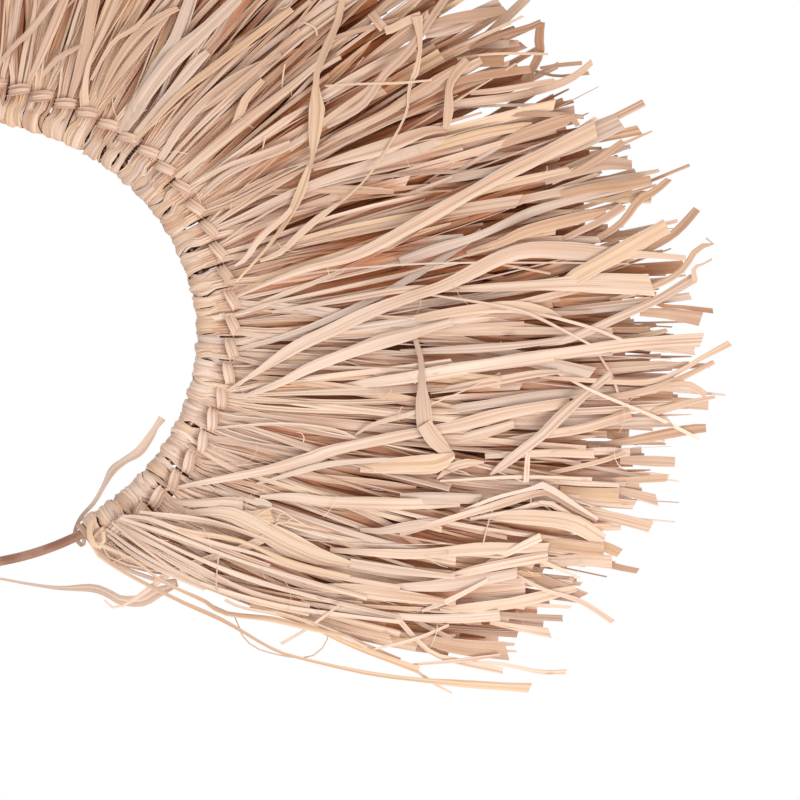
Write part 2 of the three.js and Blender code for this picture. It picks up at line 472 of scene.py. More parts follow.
@dataclass
class FringeLie:
    """Which way the fringe lies: a point for each place on the hoop and each distance out along a tail."""

    hoop: HoopLine
    bundles: int = 57
    upper_length: float = 177.0
    lower_length: float = 205.0
    lengthen_from: float = math.radians(40.0)
    lengthen_to: float = math.radians(-12.0)
    short_slope: float = math.radians(50.0)
    short_reach: float = math.radians(30.0)
    shorter: float = 24.0
    end_bundles: float = 11.0
    end_shorter: float = 34.0
    droop: float = math.radians(12.0)
    sweep_start: float = 10.0
    sweep_end: float = 16.0
    sweep_share: float = 0.55
    levelling_power: float = 1.5
    step: float = 2.5
    places_per_bundle: int = 4
    longest: float = 235.0

    def __post_init__(self) -> None:
        """Follows the lie outwards from every place of a table."""
        self._place_count = self.bundles * self.places_per_bundle + 1
        self._step_count = int(self.longest / self.step) + 1
        place = np.linspace(0.0, 1.0, self._place_count)
        slope, side = self._slope(place)
        length = self.length(place)
        point = self.hoop.at(place)[0]
        rows = [point]
        for index in range(self._step_count - 1):
            angle = self._tail_angle(slope, (index + 0.5) * self.step, length)
            point = point + self.step * np.stack([side * np.cos(angle), np.sin(angle)], -1)
            rows.append(point)
        self._table = np.stack(rows, 1)

    def _slope(self, place: Array) -> tuple[Array, Array]:
        """The wire's outward direction as an angle above the horizontal, and its side.

        Args:
            place: Places on the hoop.

        Returns:
            Angles in radians, and 1 on the right or -1 on the left.
        """
        outward = self.hoop.at(place)[1]
        side = np.where(np.asarray(place) > 0.5, -1.0, 1.0)
        return np.arctan2(outward[..., 1], side * outward[..., 0]), side

    def length(self, place: Array) -> Array:
        """The fringe's full length at places on the hoop.

        Args:
            place: The places.

        Returns:
            Lengths in mm.
        """
        slope = self._slope(place)[0]
        rise = 1.0 - smooth_rise(-slope, -self.lengthen_from, -self.lengthen_to)
        short = np.clip(1.0 - ((slope - self.short_slope) / self.short_reach) ** 2, 0.0, 1.0)
        from_end = np.minimum(place, 1.0 - np.asarray(place)) * self.bundles
        end = self.end_shorter * (1.0 - smooth_rise(from_end, 0.0, self.end_bundles))
        return self.lower_length + (self.upper_length - self.lower_length) * rise - self.shorter * short - end

    def _tail_angle(self, slope: Array, distance: float, length: Array) -> Array:
        """The direction of a tail at a distance out.

        Args:
            slope: The wire's outward direction.
            distance: Millimetres out along the tail.
            length: The fringe's full length there.

        Returns:
            Angles above the horizontal.
        """
        share = np.clip((distance - self.sweep_end) / (length - self.sweep_end), 0.0, 1.0)
        upper = slope - self.droop * np.sin(2.0 * slope) * share
        swept = 1.0 - self.sweep_share * smooth_rise(distance, self.sweep_start, self.sweep_end)
        return np.where(slope >= 0.0, upper, slope * swept * (1.0 - share**self.levelling_power))

    def at(self, place: Array, distance: Array) -> Array:
        """Points of the lie.

        Args:
            place: Places on the hoop.
            distance: Millimetres out along a tail.

        Returns:
            Points with x and z last.
        """
        column = np.asarray(place) * (self._place_count - 1)
        row = np.asarray(distance) / self.step
        i = np.clip(np.floor(column).astype(int), 0, self._place_count - 2)
        j = np.clip(np.floor(row).astype(int), 0, self._step_count - 2)
        f, g = (column - i)[..., None], (row - j)[..., None]
        near = self._table[i, j] * (1 - f) + self._table[i + 1, j] * f
        far = self._table[i, j + 1] * (1 - f) + self._table[i + 1, j + 1] * f
        return near * (1 - g) + far * g


# Strips of raffia


class StripForm:
    """A flat strip with a little thickness, which every strip of one kind starts from."""

    thickness = 0.1

    def __init__(self, columns: int, stations: int) -> None:
        """Makes the strip and notes what each of its vertices is.

        Args:
            columns: Vertices across.
            stations: Vertices along.
        """
        self.columns = columns
        self.stations = stations
        shell = bmesh.new()
        bmesh.ops.create_grid(shell, x_segments=columns - 1, y_segments=stations - 1, size=1.0)
        bmesh.ops.solidify(shell, geom=shell.faces[:], thickness=self.thickness)
        place = np.array([vertex.co for vertex in shell.verts])
        self.column = np.rint((place[:, 0] + 1) / 2 * (columns - 1)).astype(int)
        self.station = np.rint((place[:, 1] + 1) / 2 * (stations - 1)).astype(int)
        self.side = np.where(place[:, 2] > -self.thickness / 2, 1.0, -1.0)
        self.across = -place[:, 0]
        order = np.lexsort((self.column, self.station, -self.side))
        self.sheet = order[: columns * stations].reshape(stations, columns)
        for face in shell.faces:
            face.smooth = True
        for edge in shell.edges:
            first, second = edge.verts[0].index, edge.verts[1].index
            same = self.station[first] == self.station[second] and self.side[first] == self.side[second]
            edge.smooth = bool(same and 0 < self.station[first] < stations - 1)
        self.mesh = bpy.data.meshes.new(f"strip_form_{columns}_{stations}")
        shell.to_mesh(self.mesh)
        shell.free()


_FORMS: dict[tuple[int, int], StripForm] = {}


def strip_form(columns: int, stations: int) -> StripForm:
    """The strip form of a size, made once.

    Args:
        columns: Vertices across.
        stations: Vertices along.

    Returns:
        The form.
    """
    key = (columns, stations)
    if key not in _FORMS:
        _FORMS[key] = StripForm(columns, stations)
    return _FORMS[key]


@dataclass
class Strips:
    """Strips of raffia of one form, one to a row: middle line, width, roll, lengthwise folds, tone and hue."""

    centre: Array
    across: Array
    half_width: Array
    roll: Array
    fold: Array
    heights: Array
    skew: Array
    tone: Array
    hue: Array
    thickness: float = 0.2

    def vertices(self, form: StripForm) -> tuple[Array, Array, Array, Array]:
        """Lays the form along each strip's line.

        Args:
            form: The strip form.

        Returns:
            Points in mm, each vertex's place across and along its strip in mm, its span and hue, and its tone.
        """
        travel = unit(np.gradient(self.centre, axis=1))
        wide = unit(self.across - np.sum(self.across * travel, -1, keepdims=True) * travel)
        face = np.cross(travel, wide)
        turn, lift = np.cos(self.roll)[..., None], np.sin(self.roll)[..., None]
        wide, face = turn * wide + lift * face, turn * face - lift * wide
        row = form.station
        half = self.half_width[:, row]
        bend = self.fold[:, row]
        height = self.heights[:, row, form.column] - 0.5
        points = self.centre[:, row]
        points = points + (half * form.across * np.cos(bend))[..., None] * wide[:, row]
        points = points + (half * height * np.sin(bend) + form.side * self.thickness / 2)[..., None] * face[:, row]
        last = (row == form.stations - 1) * form.across
        points = points + (half * last * self.skew[:, None])[..., None] * travel[:, row]
        run = np.cumsum(np.linalg.norm(np.diff(self.centre, axis=1, prepend=self.centre[:, :1]), axis=-1), axis=1)
        span = np.broadcast_to(form.across, half.shape)
        hue, tone = (np.broadcast_to(value[:, None], half.shape) for value in (self.hue, self.tone))
        return points, np.stack([half * form.across, run[:, row]], -1), np.stack([span, hue], -1), tone

    def joined_before(self, other: "Strips") -> "Strips":
        """Joins each strip's end to the start of another's.

        Args:
            other: The strips that go on.

        Returns:
            The longer strips.
        """
        names = ("centre", "across", "half_width", "roll", "fold", "heights")
        parts = {name: np.concatenate([getattr(self, name), getattr(other, name)], axis=1) for name in names}
        return Strips(**parts, skew=other.skew, tone=other.tone, hue=other.hue, thickness=self.thickness)

    def reversed(self) -> "Strips":
        """The same strips, followed from their far ends."""
        parts = {name: getattr(self, name)[:, ::-1] for name in ("centre", "across", "half_width", "fold")}
        parts |= {"roll": -self.roll[:, ::-1], "heights": self.heights[:, ::-1]}
        return Strips(**parts, skew=self.skew, tone=self.tone, hue=self.hue)


@dataclass
class FringeSurface:
    """How far the fringe stands out in front of and behind each spot of the hoop's plane, as height maps in mm, and
    the painted shade and painted light that strips get from their depth and place.
    """

    hoop: HoopLine
    half_width: float = 330.0
    low: float = -290.0
    high: float = 210.0
    cell: float = 1.5
    neighbourhood: int = 3
    steps_a_quad: int = 10
    bare_height: float = 5.0
    # How far below the surface a strip's painted shade begins and is full, and how it fades at the tips, in the lower
    # half and at the knots
    depths: Span = (0.1, 3.4)
    tips: Span = (105.0, 190.0)
    tip_share: float = 0.4
    low_share: float = 0.85
    low_until: Span = (-60.0, 60.0)
    knots: Span = (10.0, 20.0)
    knot_share: float = 0.3
    # Painted light near the hoop, less in the upper part, and painted shade at the top and at the tips, added to the
    # strips' tones
    root_painted_light: float = 0.16
    root_start: Span = (-2.0, 14.0)
    root_end: Span = (14.0, 75.0)
    top_painted_shade: float = 0.16
    top: Span = (30.0, 120.0)
    tip_painted_shade: float = 0.12
    tip_rise: Span = (80.0, 185.0)
    upper_part: Span = (-90.0, 30.0)
    upper_root_loss: float = 0.5
    low_tip_share: float = 0.3

    def __post_init__(self) -> None:
        """Starts with bare maps."""
        shape = (int(2 * self.half_width / self.cell), int((self.high - self.low) / self.cell))
        self._stand = {1.0: np.zeros(shape), -1.0: np.zeros(shape)}
        self._level = dict(self._stand)

    def _spots(self, points: Array) -> tuple[Array, Array]:
        """The map cells of points.

        Args:
            points: Points in space.

        Returns:
            Their columns and rows.
        """
        column = ((points[..., 0] + self.half_width) / self.cell).astype(int)
        row = ((points[..., 2] - self.low) / self.cell).astype(int)
        shape = self._stand[1.0].shape
        return np.clip(column, 0, shape[0] - 1), np.clip(row, 0, shape[1] - 1)

    def cover(self, sheets: Array) -> None:
        """Raises the maps to strips' surfaces.

        Args:
            sheets: Points by strip, station and column.
        """
        for along in np.linspace(0.0, 1.0, self.steps_a_quad, endpoint=False):
            line = sheets[:, :-1] * (1 - along) + sheets[:, 1:] * along
            for points in (line, (line[:, :, :-1] + line[:, :, 1:]) / 2):
                spots = self._spots(points)
                for side in (1.0, -1.0):
                    np.maximum.at(self._stand[side], spots, -side * points[..., 1])

    def _spread(self, values: Array, reach: int, join: Any) -> Array:
        """Joins each cell with its neighbours along both axes.

        Args:
            values: A map.
            reach: How many cells away still count.
            join: What joins a stack of shifted maps into one.

        Returns:
            The joined map.
        """
        for axis in (0, 1):
            values = join(np.stack([np.roll(values, shift, axis) for shift in range(-reach, reach + 1)]), axis=0)
        return values

    def settle(self) -> None:
        """Averages the maps over each spot's neighbourhood, so that strips seen through gaps count as lying below the
        surface and get painted shade.
        """
        self._level = {side: self._spread(stand, self.neighbourhood, np.mean) for side, stand in self._stand.items()}

    def painted_shade_share(self, points: Array) -> Array:
        """How far points lie below the nearer of the front and back surfaces, as a share of painted shade from 0 to
        1.

        Args:
            points: Points in space.

        Returns:
            The shares of painted shade, which fade at the tips, at the knots and in the lower half.
        """
        spots = self._spots(points)
        below = [self._level[side][spots] + side * points[..., 1] for side in (1.0, -1.0)]
        share = smooth_rise(np.minimum(*below), *self.depths)
        out, height = self._beyond(points)
        tip = 1.0 - (1.0 - self.tip_share) * smooth_rise(out, *self.tips)
        upper = self.low_share + (1.0 - self.low_share) * smooth_rise(height, *self.low_until)
        knots = self.knot_share + (1.0 - self.knot_share) * smooth_rise(out, *self.knots)
        return share * upper * tip * knots

    def _beyond(self, points: Array) -> tuple[Array, Array]:
        """How far points lie from the wire and from its middle.

        Args:
            points: Points in space.

        Returns:
            Millimetres outside the wire and millimetres above its middle.
        """
        height = points[..., 2] - self.hoop.middle_z
        size = (self.hoop.half_width + self.hoop.half_height) / 2
        return (np.hypot(points[..., 0] / self.hoop.half_width, height / self.hoop.half_height) - 1.0) * size, height

    def painted_light_and_shade(self, points: Array) -> Array:
        """Painted light and shade by place: how much lighter strips are painted near the hoop, and how much darker at
        the top and the tips.

        Args:
            points: Points in space.

        Returns:
            What to add to their tones as painted light and shade.
        """
        out, height = self._beyond(points)
        upper = smooth_rise(height, *self.upper_part)
        near_hoop = smooth_rise(out, *self.root_start) * (1.0 - smooth_rise(out, *self.root_end))
        root = self.root_painted_light * (1.0 - self.upper_root_loss * upper) * near_hoop
        top = self.top_painted_shade * smooth_rise(height, *self.top)
        tip_share = self.low_tip_share + (1.0 - self.low_tip_share) * upper
        return root - top - self.tip_painted_shade * tip_share * smooth_rise(out, *self.tip_rise)

    def rest(self, points: Array) -> Array:
        """Heights at which a ribbon lies on the front along its line.

        Args:
            points: The ribbon's middle line.

        Returns:
            Millimetres in front of the hoop's plane.
        """
        top = self._spread(self._stand[1.0], 1, np.max)[self._spots(points)]
        known = np.flatnonzero(top > 1.0)
        if not len(known):
            return np.full(len(points), self.bare_height)
        held = np.interp(np.arange(len(points)), known, top[known])
        padded = np.pad(held, 3, mode="edge")
        ridge = np.max([padded[shift : shift + len(held) + 4] for shift in range(3)], axis=0)
        return np.mean([ridge[shift : shift + len(held)] for shift in range(5)], axis=0)


class StripMesh:
    """Gathers strips into one mesh, with the UV maps that the raffia finish reads."""

    def __init__(self, surface: FringeSurface, first_cell: int) -> None:
        """Starts an empty mesh.

        Args:
            surface: The fringe's surface, which its strips raise.
            first_cell: The UV cell of its first strip.
        """
        self.surface = surface
        self.shell = bmesh.new()
        self.batches: list[tuple[Array, ...]] = []
        self.next_cell = first_cell

    def add(self, strips: Strips) -> None:
        """Adds a batch of strips.

        Args:
            strips: The strips.
        """
        count, stations, columns = strips.heights.shape
        form = strip_form(columns, stations)
        points, places, spans, tones = strips.vertices(form)
        self.surface.cover(points[:, form.sheet])
        for _ in range(count):
            self.shell.from_mesh(form.mesh)
        cells = (self.next_cell + np.arange(count) + 0.5) * CELL
        places = places * MM
        places[..., 0] += cells[:, None]
        self.next_cell += count
        self.batches.append((points.reshape(-1, 3), places.reshape(-1, 2), spans.reshape(-1, 2), tones.ravel()))

    def finish(self, name: str, material: bpy.types.Material, *nodes: str) -> None:
        """Writes the mesh and makes its piece, once the surface is settled.

        Args:
            name: The piece's name.
            material: Its finish.
            nodes: The CAD nodes it stands for.
        """
        mesh = bpy.data.meshes.new(name)
        self.shell.to_mesh(mesh)
        self.shell.free()
        points, places, spans, tones = (np.concatenate(values) for values in zip(*self.batches))
        mesh.vertices.foreach_set("co", (points * MM).astype(np.float32).ravel())
        corners = np.zeros(len(mesh.loops), np.int32)
        mesh.loops.foreach_get("vertex_index", corners)
        # The first part is each strip's tone with painted light and shade by place added, the second its share of
        # painted shade below the surface
        lie = np.stack([tones + self.surface.painted_light_and_shade(points), self.surface.painted_shade_share(points)], -1)
        for layer_name, values in (("strip", places), ("span", spans), ("lie", lie)):
            layer = mesh.uv_layers.new(name=layer_name)
            layer.data.foreach_set("uv", values[corners].astype(np.float32).ravel())
        mesh.update()
        add_piece(name, mesh, material, nodes)


@dataclass(frozen=True)
class TailKind:
    """How one kind of tail is cut and laid. Layers run from 0 at the bundle's core to 1 at its surface."""

    columns: int
    stations: int
    half_width: Span
    neck_half_width: float
    length_share: Span
    fold: Span
    roll: float
    spread: float
    layer: Span
    narrowness: float = 1.8
    neck: float = 1.0


FOLDED = TailKind(5, 14, (1.0, 3.4), 1.3, (0.80, 0.98), (3.0, 20.0), 16.0, 0.25, (0.72, 1.0))
TOP = TailKind(5, 14, (0.9, 4.0), 1.0, (0.5, 1.0), (3.0, 18.0), 18.0, 0.75, (0.85, 1.2))
UNDER = TailKind(5, 12, (0.9, 3.8), 1.0, (0.6, 0.98), (4.0, 26.0), 22.0, 0.35, (0.3, 0.85))
THIN = TailKind(3, 13, (0.35, 1.1), 0.45, (0.5, 1.0), (8.0, 45.0), 35.0, 0.7, (0.3, 1.18))
CORE = TailKind(3, 9, (1.6, 3.4), 1.2, (0.66, 0.9), (5.0, 30.0), 30.0, 0.3, (-0.35, 0.35), 1.0, 1.5)


@dataclass
class Tails:
    """Lays the tails of one bundle."""

    lie: FringeLie
    rng: np.random.Generator
    place: float
    folded_root: float = 4.5
    tied_root: float = 8.2
    neck_share: float = 0.36
    neck_fold: float = 26.0
    neck_end: Span = (9.0, 80.0)
    fan: float = 1.3
    fan_start: float = 10.0
    fan_length: float = 170.0
    opening: float = 0.7
    opening_at: Span = (9.0, 26.0)
    station_power: float = 1.25
    end_margins: Span = (0.35, 1.5)
    margin_rise: Span = (12.0, 45.0)
    overrun: float = 0.2
    depth_distances: tuple[float, ...] = (0.0, 4.5, 9.0, 14.0, 40.0, 92.0, 150.0, 205.0)
    depth_reach: tuple[float, ...] = (4.6, 4.0, 3.0, 4.6, 8.8, 13.5, 12.5, 10.0)
    swell: Span = (0.2, 1.6)
    swell_length: float = 22.0
    swell_rise: Span = (14.0, 60.0)
    curl: Span = (0.6, 2.4)
    curl_rise: Span = (0.7, 1.05)
    wild_share: float = 0.16
    wilder: float = 2.3
    wave_length: Span = (26.0, 60.0)
    swing: Span = (0.1, 1.5)
    swing_rise: Span = (12.0, 60.0)
    kink_share: float = 0.14
    kink_at: Span = (0.35, 0.8)
    kink_angle: float = 12.0
    kink_limit: float = 13.0
    roll_rise: Span = (10.0, 50.0)
    twist_share: float = 0.1
    twist_at: Span = (0.3, 0.7)
    twist_rise: Span = (-0.12, 0.12)
    guarded: float = 3.0
    slack: float = 1.5
    widening: Span = (8.0, 75.0)
    widening_power: float = 0.8
    waist: float = 0.35
    waist_length: float = 30.0
    waist_from: float = 20.0
    thinner: float = 0.45
    thinner_bundles: Span = (3.0, 9.0)
    thinner_until: Span = (60.0, 150.0)
    pointed_share: float = 0.35
    tip_width: Span = (0.15, 0.6)
    tip_rise: Span = (0.86, 1.0)
    locks: int = 4
    lock_jitter: float = 0.12
    sway: float = 0.75
    core_tone: float = 0.46
    # Strips nearer the bundle's surface get lighter tones and those at its core darker: painted shade inside the
    # bundle
    outside_painted_light: float = 0.22
    tone_spread: float = 0.14
    hue: Span = (-0.1, 0.5)
    skew: float = 0.4
    folded_tone: float = 0.07
    # Bundles near the lower ends of the row get lighter tones: painted light on the lower part
    lower_painted_light: float = 0.07
    lower_part: Span = (0.26, 0.14)

    def __post_init__(self) -> None:
        """Draws how the bundle's locks lean, in front and behind."""
        self._lean = {side: self.rng.normal(0.0, 0.5, self.locks) for side in (1.0, -1.0)}
        self._depth = {side: self.rng.uniform(-0.14, 0.14, self.locks) for side in (1.0, -1.0)}
        self._reach = {side: self.rng.normal(0.985, 0.045, self.locks).clip(0.87, 1.02) for side in (1.0, -1.0)}
        turns = self.place * self.lie.bundles
        self._sway = self.sway * (math.sin(turns * 0.71 + 0.9) + 0.7 * math.sin(turns * 1.37 + 2.2)) / 1.7

    def lay(self, count: int, kind: TailKind, front: float, neck_places: Array | None = None) -> Strips:
        """Lays tails from the neck outwards.

        Args:
            count: How many.
            kind: Their kind.
            front: 1 in front of the hoop, -1 behind it.
            neck_places: Their places across the neck, in pitches, where they are given.

        Returns:
            The strips, each from its root to its tip.
        """
        rng = self.rng
        pitch = 1.0 / self.lie.bundles
        if neck_places is None:
            neck_places = rng.uniform(-self.neck_share, self.neck_share, count) * kind.neck
        lock = (neck_places / self.neck_share + 1) / 2 + rng.normal(0, self.lock_jitter, count)
        lock = np.clip(lock * self.locks, 0, self.locks - 0.01).astype(int)
        spread = rng.normal(0.0, kind.spread, count) + neck_places * self.fan
        spread = spread + self._lean[front][lock] + self._sway * front
        spread = np.where(rng.random(count) < self.wild_share, spread * self.wilder, spread)
        length = self.lie.length(np.array([self.place]))[0] * rng.uniform(*kind.length_share, count)
        length = length * self._reach[front][lock]
        root = self.folded_root if kind is FOLDED else self.tied_root
        distance = root + (length - root)[:, None] * np.linspace(0.0, 1.0, kind.stations) ** self.station_power
        fan = np.clip(distance - self.fan_start, 0.0, None) / self.fan_length
        opened = 1.0 + self.opening * smooth_rise(distance, *self.opening_at)
        place = self._kept_in(self.place + (neck_places[:, None] * opened + spread[:, None] * fan) * pitch, distance)
        flat = self.lie.at(place, distance)
        sideways = turned(unit(np.gradient(flat, axis=1)))
        drift = self._drift(distance, length)
        if self.place < self.guarded * pitch:
            drift = np.maximum(drift, -self.slack)
        if self.place > 1.0 - self.guarded * pitch:
            drift = np.minimum(drift, self.slack)
        flat = flat + sideways * drift[..., None]
        layer = rng.uniform(*kind.layer, count)
        layer = layer + self._depth[front][lock] * np.sign(layer)
        waves = rng.uniform(0.0, 2.0 * math.pi, (count, 1))
        depth = self._depths(layer, waves, distance, length)
        half_width = self._half_widths(kind, waves, distance, length)
        flattened = smooth_rise(distance, *self.neck_end)
        fold = np.radians(self.neck_fold + (rng.uniform(*kind.fold, (count, 1)) - self.neck_fold) * flattened)
        roll = self._roll(kind, distance, length)
        heights = np.broadcast_to(self._pleats(count, kind.columns)[:, None], (*distance.shape, kind.columns))
        # Painted light for bundles near the lower ends of the row
        start, over = self.lower_part
        lower = self.lower_painted_light * float(smooth_rise(start - self._from_end, 0.0, over))
        folded = self.folded_tone if kind is FOLDED else 0.0
        # Tone rises from the core outwards: painted shade inside the bundle
        tone = self.core_tone + self.outside_painted_light * np.abs(layer) + rng.normal(0.0, self.tone_spread, count)
        tone, hue = np.clip(tone + lower + folded, 0.05, 1.0), np.clip(rng.normal(*self.hue, count), -1.0, 1.0)
        centre, across, skew = in_space(flat, -front * depth), in_space(sideways), rng.normal(0.0, self.skew, count)
        return Strips(centre, across, half_width, roll, fold, heights, skew, tone, hue)

    @property
    def _from_end(self) -> float:
        """How far the bundle is from the nearer end of the row, as a share of the row."""
        return min(self.place, 1.0 - self.place)

    def _depths(self, layer: Array, waves: Array, distance: Array, length: Array) -> Array:
        """How far the tails lie from the hoop's plane.

        Args:
            layer: Each tail's layer.
            waves: Each tail's phase.
            distance: Distances out, one row a tail.
            length: Each tail's length.

        Returns:
            Depths in mm.
        """
        rng, each = self.rng, (len(length), 1)
        depth = layer[:, None] * np.interp(distance, self.depth_distances, self.depth_reach)
        wave = np.sin(distance / self.swell_length + waves)
        depth = depth + rng.uniform(*self.swell, each) * wave * smooth_rise(distance, *self.swell_rise)
        return depth + rng.normal(*self.curl, each) * smooth_rise(distance / length[:, None], *self.curl_rise)

    def _half_widths(self, kind: TailKind, waves: Array, distance: Array, length: Array) -> Array:
        """How wide the tails are along their lengths.

        Args:
            kind: The tails' kind.
            waves: Each tail's phase.
            distance: Distances out, one row a tail.
            length: Each tail's length.

        Returns:
            Half widths in mm.
        """
        rng, count = self.rng, len(length)
        low, high = kind.half_width
        wide = low + (high - low) * rng.random(count) ** kind.narrowness
        opened = smooth_rise(distance, *self.widening) ** self.widening_power
        half_width = kind.neck_half_width + (wide - kind.neck_half_width)[:, None] * opened
        drawn_in = np.sin(distance / self.waist_length + waves * 1.7) ** 2
        waist = 1.0 - self.waist * rng.random((count, 1)) * drawn_in
        half_width = half_width * np.where(distance > self.waist_from, waist, 1.0)
        inner = float(smooth_rise(self._from_end * self.lie.bundles, *self.thinner_bundles))
        near = 1.0 - smooth_rise(distance, *self.thinner_until)
        half_width = half_width * (1.0 - self.thinner * (1.0 - inner) * near)
        tip = np.where(rng.random(count) < self.pointed_share, rng.uniform(*self.tip_width, count), 1.0)
        return half_width * (1.0 - (1.0 - tip[:, None]) * smooth_rise(distance / length[:, None], *self.tip_rise))

    def _kept_in(self, place: Array, distance: Array) -> Array:
        """Holds places near the ends of the row of bundles back from running past it.

        Args:
            place: Places on the hoop.
            distance: Distances out.

        Returns:
            The places, drawn in.
        """
        margin, outer = self.end_margins
        low = (margin + (outer - margin) * smooth_rise(distance, *self.margin_rise)) / self.lie.bundles
        drawn = np.where(place < low, low + (place - low) * self.overrun, place)
        return np.where(drawn > 1.0 - low, 1.0 - low + (drawn - 1.0 + low) * self.overrun, drawn)

    def _drift(self, distance: Array, length: Array) -> Array:
        """Sideways wobble and kinks of the tails.

        Args:
            distance: Distances out, one row a tail.
            length: Each tail's length.

        Returns:
            Sideways shifts in mm.
        """
        rng, each = self.rng, (len(length), 1)
        wave = rng.uniform(*self.wave_length, each)
        swing = rng.uniform(*self.swing, each)
        wobble = swing * np.sin(distance / wave + rng.uniform(0.0, 6.3, each))
        wobble = wobble * smooth_rise(distance, *self.swing_rise)
        kinked = rng.random(each) < self.kink_share
        where = rng.uniform(*self.kink_at, each) * length[:, None]
        turn = np.tan(np.radians(rng.normal(0.0, self.kink_angle, each)))
        kink = np.clip(turn * np.clip(distance - where, 0.0, None), -self.kink_limit, self.kink_limit)
        return wobble + np.where(kinked, kink, 0.0)

    def _roll(self, kind: TailKind, distance: Array, length: Array) -> Array:
        """How the tails turn about their own lines.

        Args:
            kind: The tails' kind.
            distance: Distances out, one row a tail.
            length: Each tail's length.

        Returns:
            Roll angles in radians.
        """
        rng, each = self.rng, (len(length), 1)
        share = distance / length[:, None]
        steady = rng.normal(0.0, kind.roll, each) * smooth_rise(distance, *self.roll_rise)
        drift = rng.normal(0.0, kind.roll, each) * smooth_rise(share, 0.2, 1.0)
        where = rng.uniform(*self.twist_at, each)
        twisted = np.where(rng.random(each) < self.twist_share, rng.choice([-180.0, 180.0], each), 0.0)
        return np.radians(steady + drift + twisted * smooth_rise(share - where, *self.twist_rise))

    def _pleats(self, count: int, columns: int) -> Array:
        """Heights of the lengthwise folds across each strip.

        Args:
            count: How many strips.
            columns: Vertices across.

        Returns:
            Heights from 0 to 1.
        """
        zigzag = np.arange(columns) % 2
        flip = self.rng.random((count, 1)) < 0.5
        low_high = np.where(flip, 1 - zigzag, zigzag) * 1.0
        return low_high * self.rng.uniform(0.45, 1.0, (count, columns)) + self.rng.uniform(0.0, 0.3, (count, columns))


@dataclass
class Bundle:
    """A bundle of raffia folded over the wire, with its tails in front and behind."""

    lie: FringeLie
    index: int
    folded: int = 7
    thinner_ends: int = 6
    more_at_ends: int = 6
    layers: tuple[tuple[int, TailKind, float], ...] = (
        (7, TOP, 1.0), (7, UNDER, 1.0), (12, THIN, 1.0), (4, UNDER, -1.0), (4, THIN, -1.0), (10, CORE, 1.0),
    )
    uneven: float = 0.09
    neck_shift: float = 0.05
    wrap_stations: int = 9
    wrap_radius: float = 4.05
    wrap_bulge: float = 1.25
    bulge_spread: float = 0.16
    slant_spread: Span = (0.09, 0.1)
    wrap_half_width: Span = (1.5, 2.4)
    wrap_reach: float = math.radians(100.0)
    wrap_share: float = 0.45
    wrap_roll: float = 18.0
    wrap_fold: Span = (12.0, 26.0)
    wrap_crown: tuple[float, ...] = (0.15, 0.8, 1.0, 0.8, 0.15)
    crown_spread: float = 0.25
    cells: int = 80
    first_seed: int = 4100

    @property
    def name(self) -> str:
        """The bundle's CAD node."""
        return f"raffia_bundle_{self.index + 1:02d}"

    def lay(self, surface: FringeSurface) -> StripMesh:
        """Lays the bundle's strips.

        Args:
            surface: The fringe's surface, which they raise.

        Returns:
            The strips, not yet a piece.
        """
        rng = np.random.default_rng(self.first_seed + self.index)
        place = (self.index + 0.5) / self.lie.bundles
        tails = Tails(self.lie, rng, place)
        mesh = StripMesh(surface, self.index * self.cells)
        mesh.add(self._folded_strips(tails))
        ended = min(self.index, self.lie.bundles - 1 - self.index) < self.thinner_ends
        for count, kind, front in self.layers:
            more = self.more_at_ends if ended and kind is THIN else 0
            mesh.add(tails.lay(count + more, kind, front))
        return mesh

    def _folded_strips(self, tails: Tails) -> Strips:
        """Strips that run in from the back, round the wire and out in front.

        Args:
            tails: The layer of the bundle's tails.

        Returns:
            The strips.
        """
        rng = tails.rng
        count = self.folded
        across = np.linspace(-1.0, 1.0, count) + rng.normal(0.0, self.uneven, count)
        rng.shuffle(across)
        necks = across * tails.neck_share
        front = tails.lay(count, FOLDED, 1.0, necks)
        back = tails.lay(count, FOLDED, -1.0, necks + rng.normal(0.0, self.neck_shift, count)).reversed()
        wrap = self._wraps(rng, tails.place, across, tails.neck_share)
        return back.joined_before(wrap).joined_before(front)

    def _wraps(self, rng: np.random.Generator, place: float, across: Array, neck_share: float) -> Strips:
        """The strips' parts round the wire, from behind it, past its inner side, to its front.

        Args:
            rng: The bundle's random numbers.
            place: The bundle's place on the hoop.
            across: The strips' places across the bundle, from -1 to 1.
            neck_share: The neck's half width in pitches.

        Returns:
            The strips.
        """
        count = len(across)
        angle = np.linspace(-self.wrap_reach, self.wrap_reach, self.wrap_stations)
        inner = np.cos(angle * 0.9) ** 2
        share = neck_share + (self.wrap_share - neck_share) * inner
        all_slant, own_slant = self.slant_spread
        slant = (rng.normal(0.0, all_slant) + rng.normal(0.0, own_slant, (count, 1))) * np.sin(angle)
        spots = place + (across[:, None] * share + slant) / self.lie.bundles
        point, outward, along = self.lie.hoop.at(spots)
        bulge = self.wrap_bulge * (1.0 - across[:, None] ** 2) + rng.normal(0.0, self.bulge_spread, (count, 1))
        radius = self.wrap_radius + bulge * (0.5 + 0.5 * inner)
        centre = in_space(point - outward * (radius * np.cos(angle))[..., None], -radius * np.sin(angle))
        wide = in_space(along)
        half = rng.uniform(*self.wrap_half_width, (count, 1)) * (0.7 + 0.3 * inner)
        roll = rng.normal(0.0, self.wrap_roll / 2, (count, 1)) + across[:, None] * self.wrap_roll
        fold = rng.uniform(*self.wrap_fold, (count, 1))
        roll, fold = (np.broadcast_to(np.radians(angles), radius.shape) for angles in (roll, fold))
        crown = np.array(self.wrap_crown) + rng.normal(0.0, self.crown_spread, (count, 5))
        heights = np.broadcast_to(crown[:, None], (*radius.shape, 5))
        return Strips(centre, wide, half, roll, fold, heights, *np.zeros((3, count)))


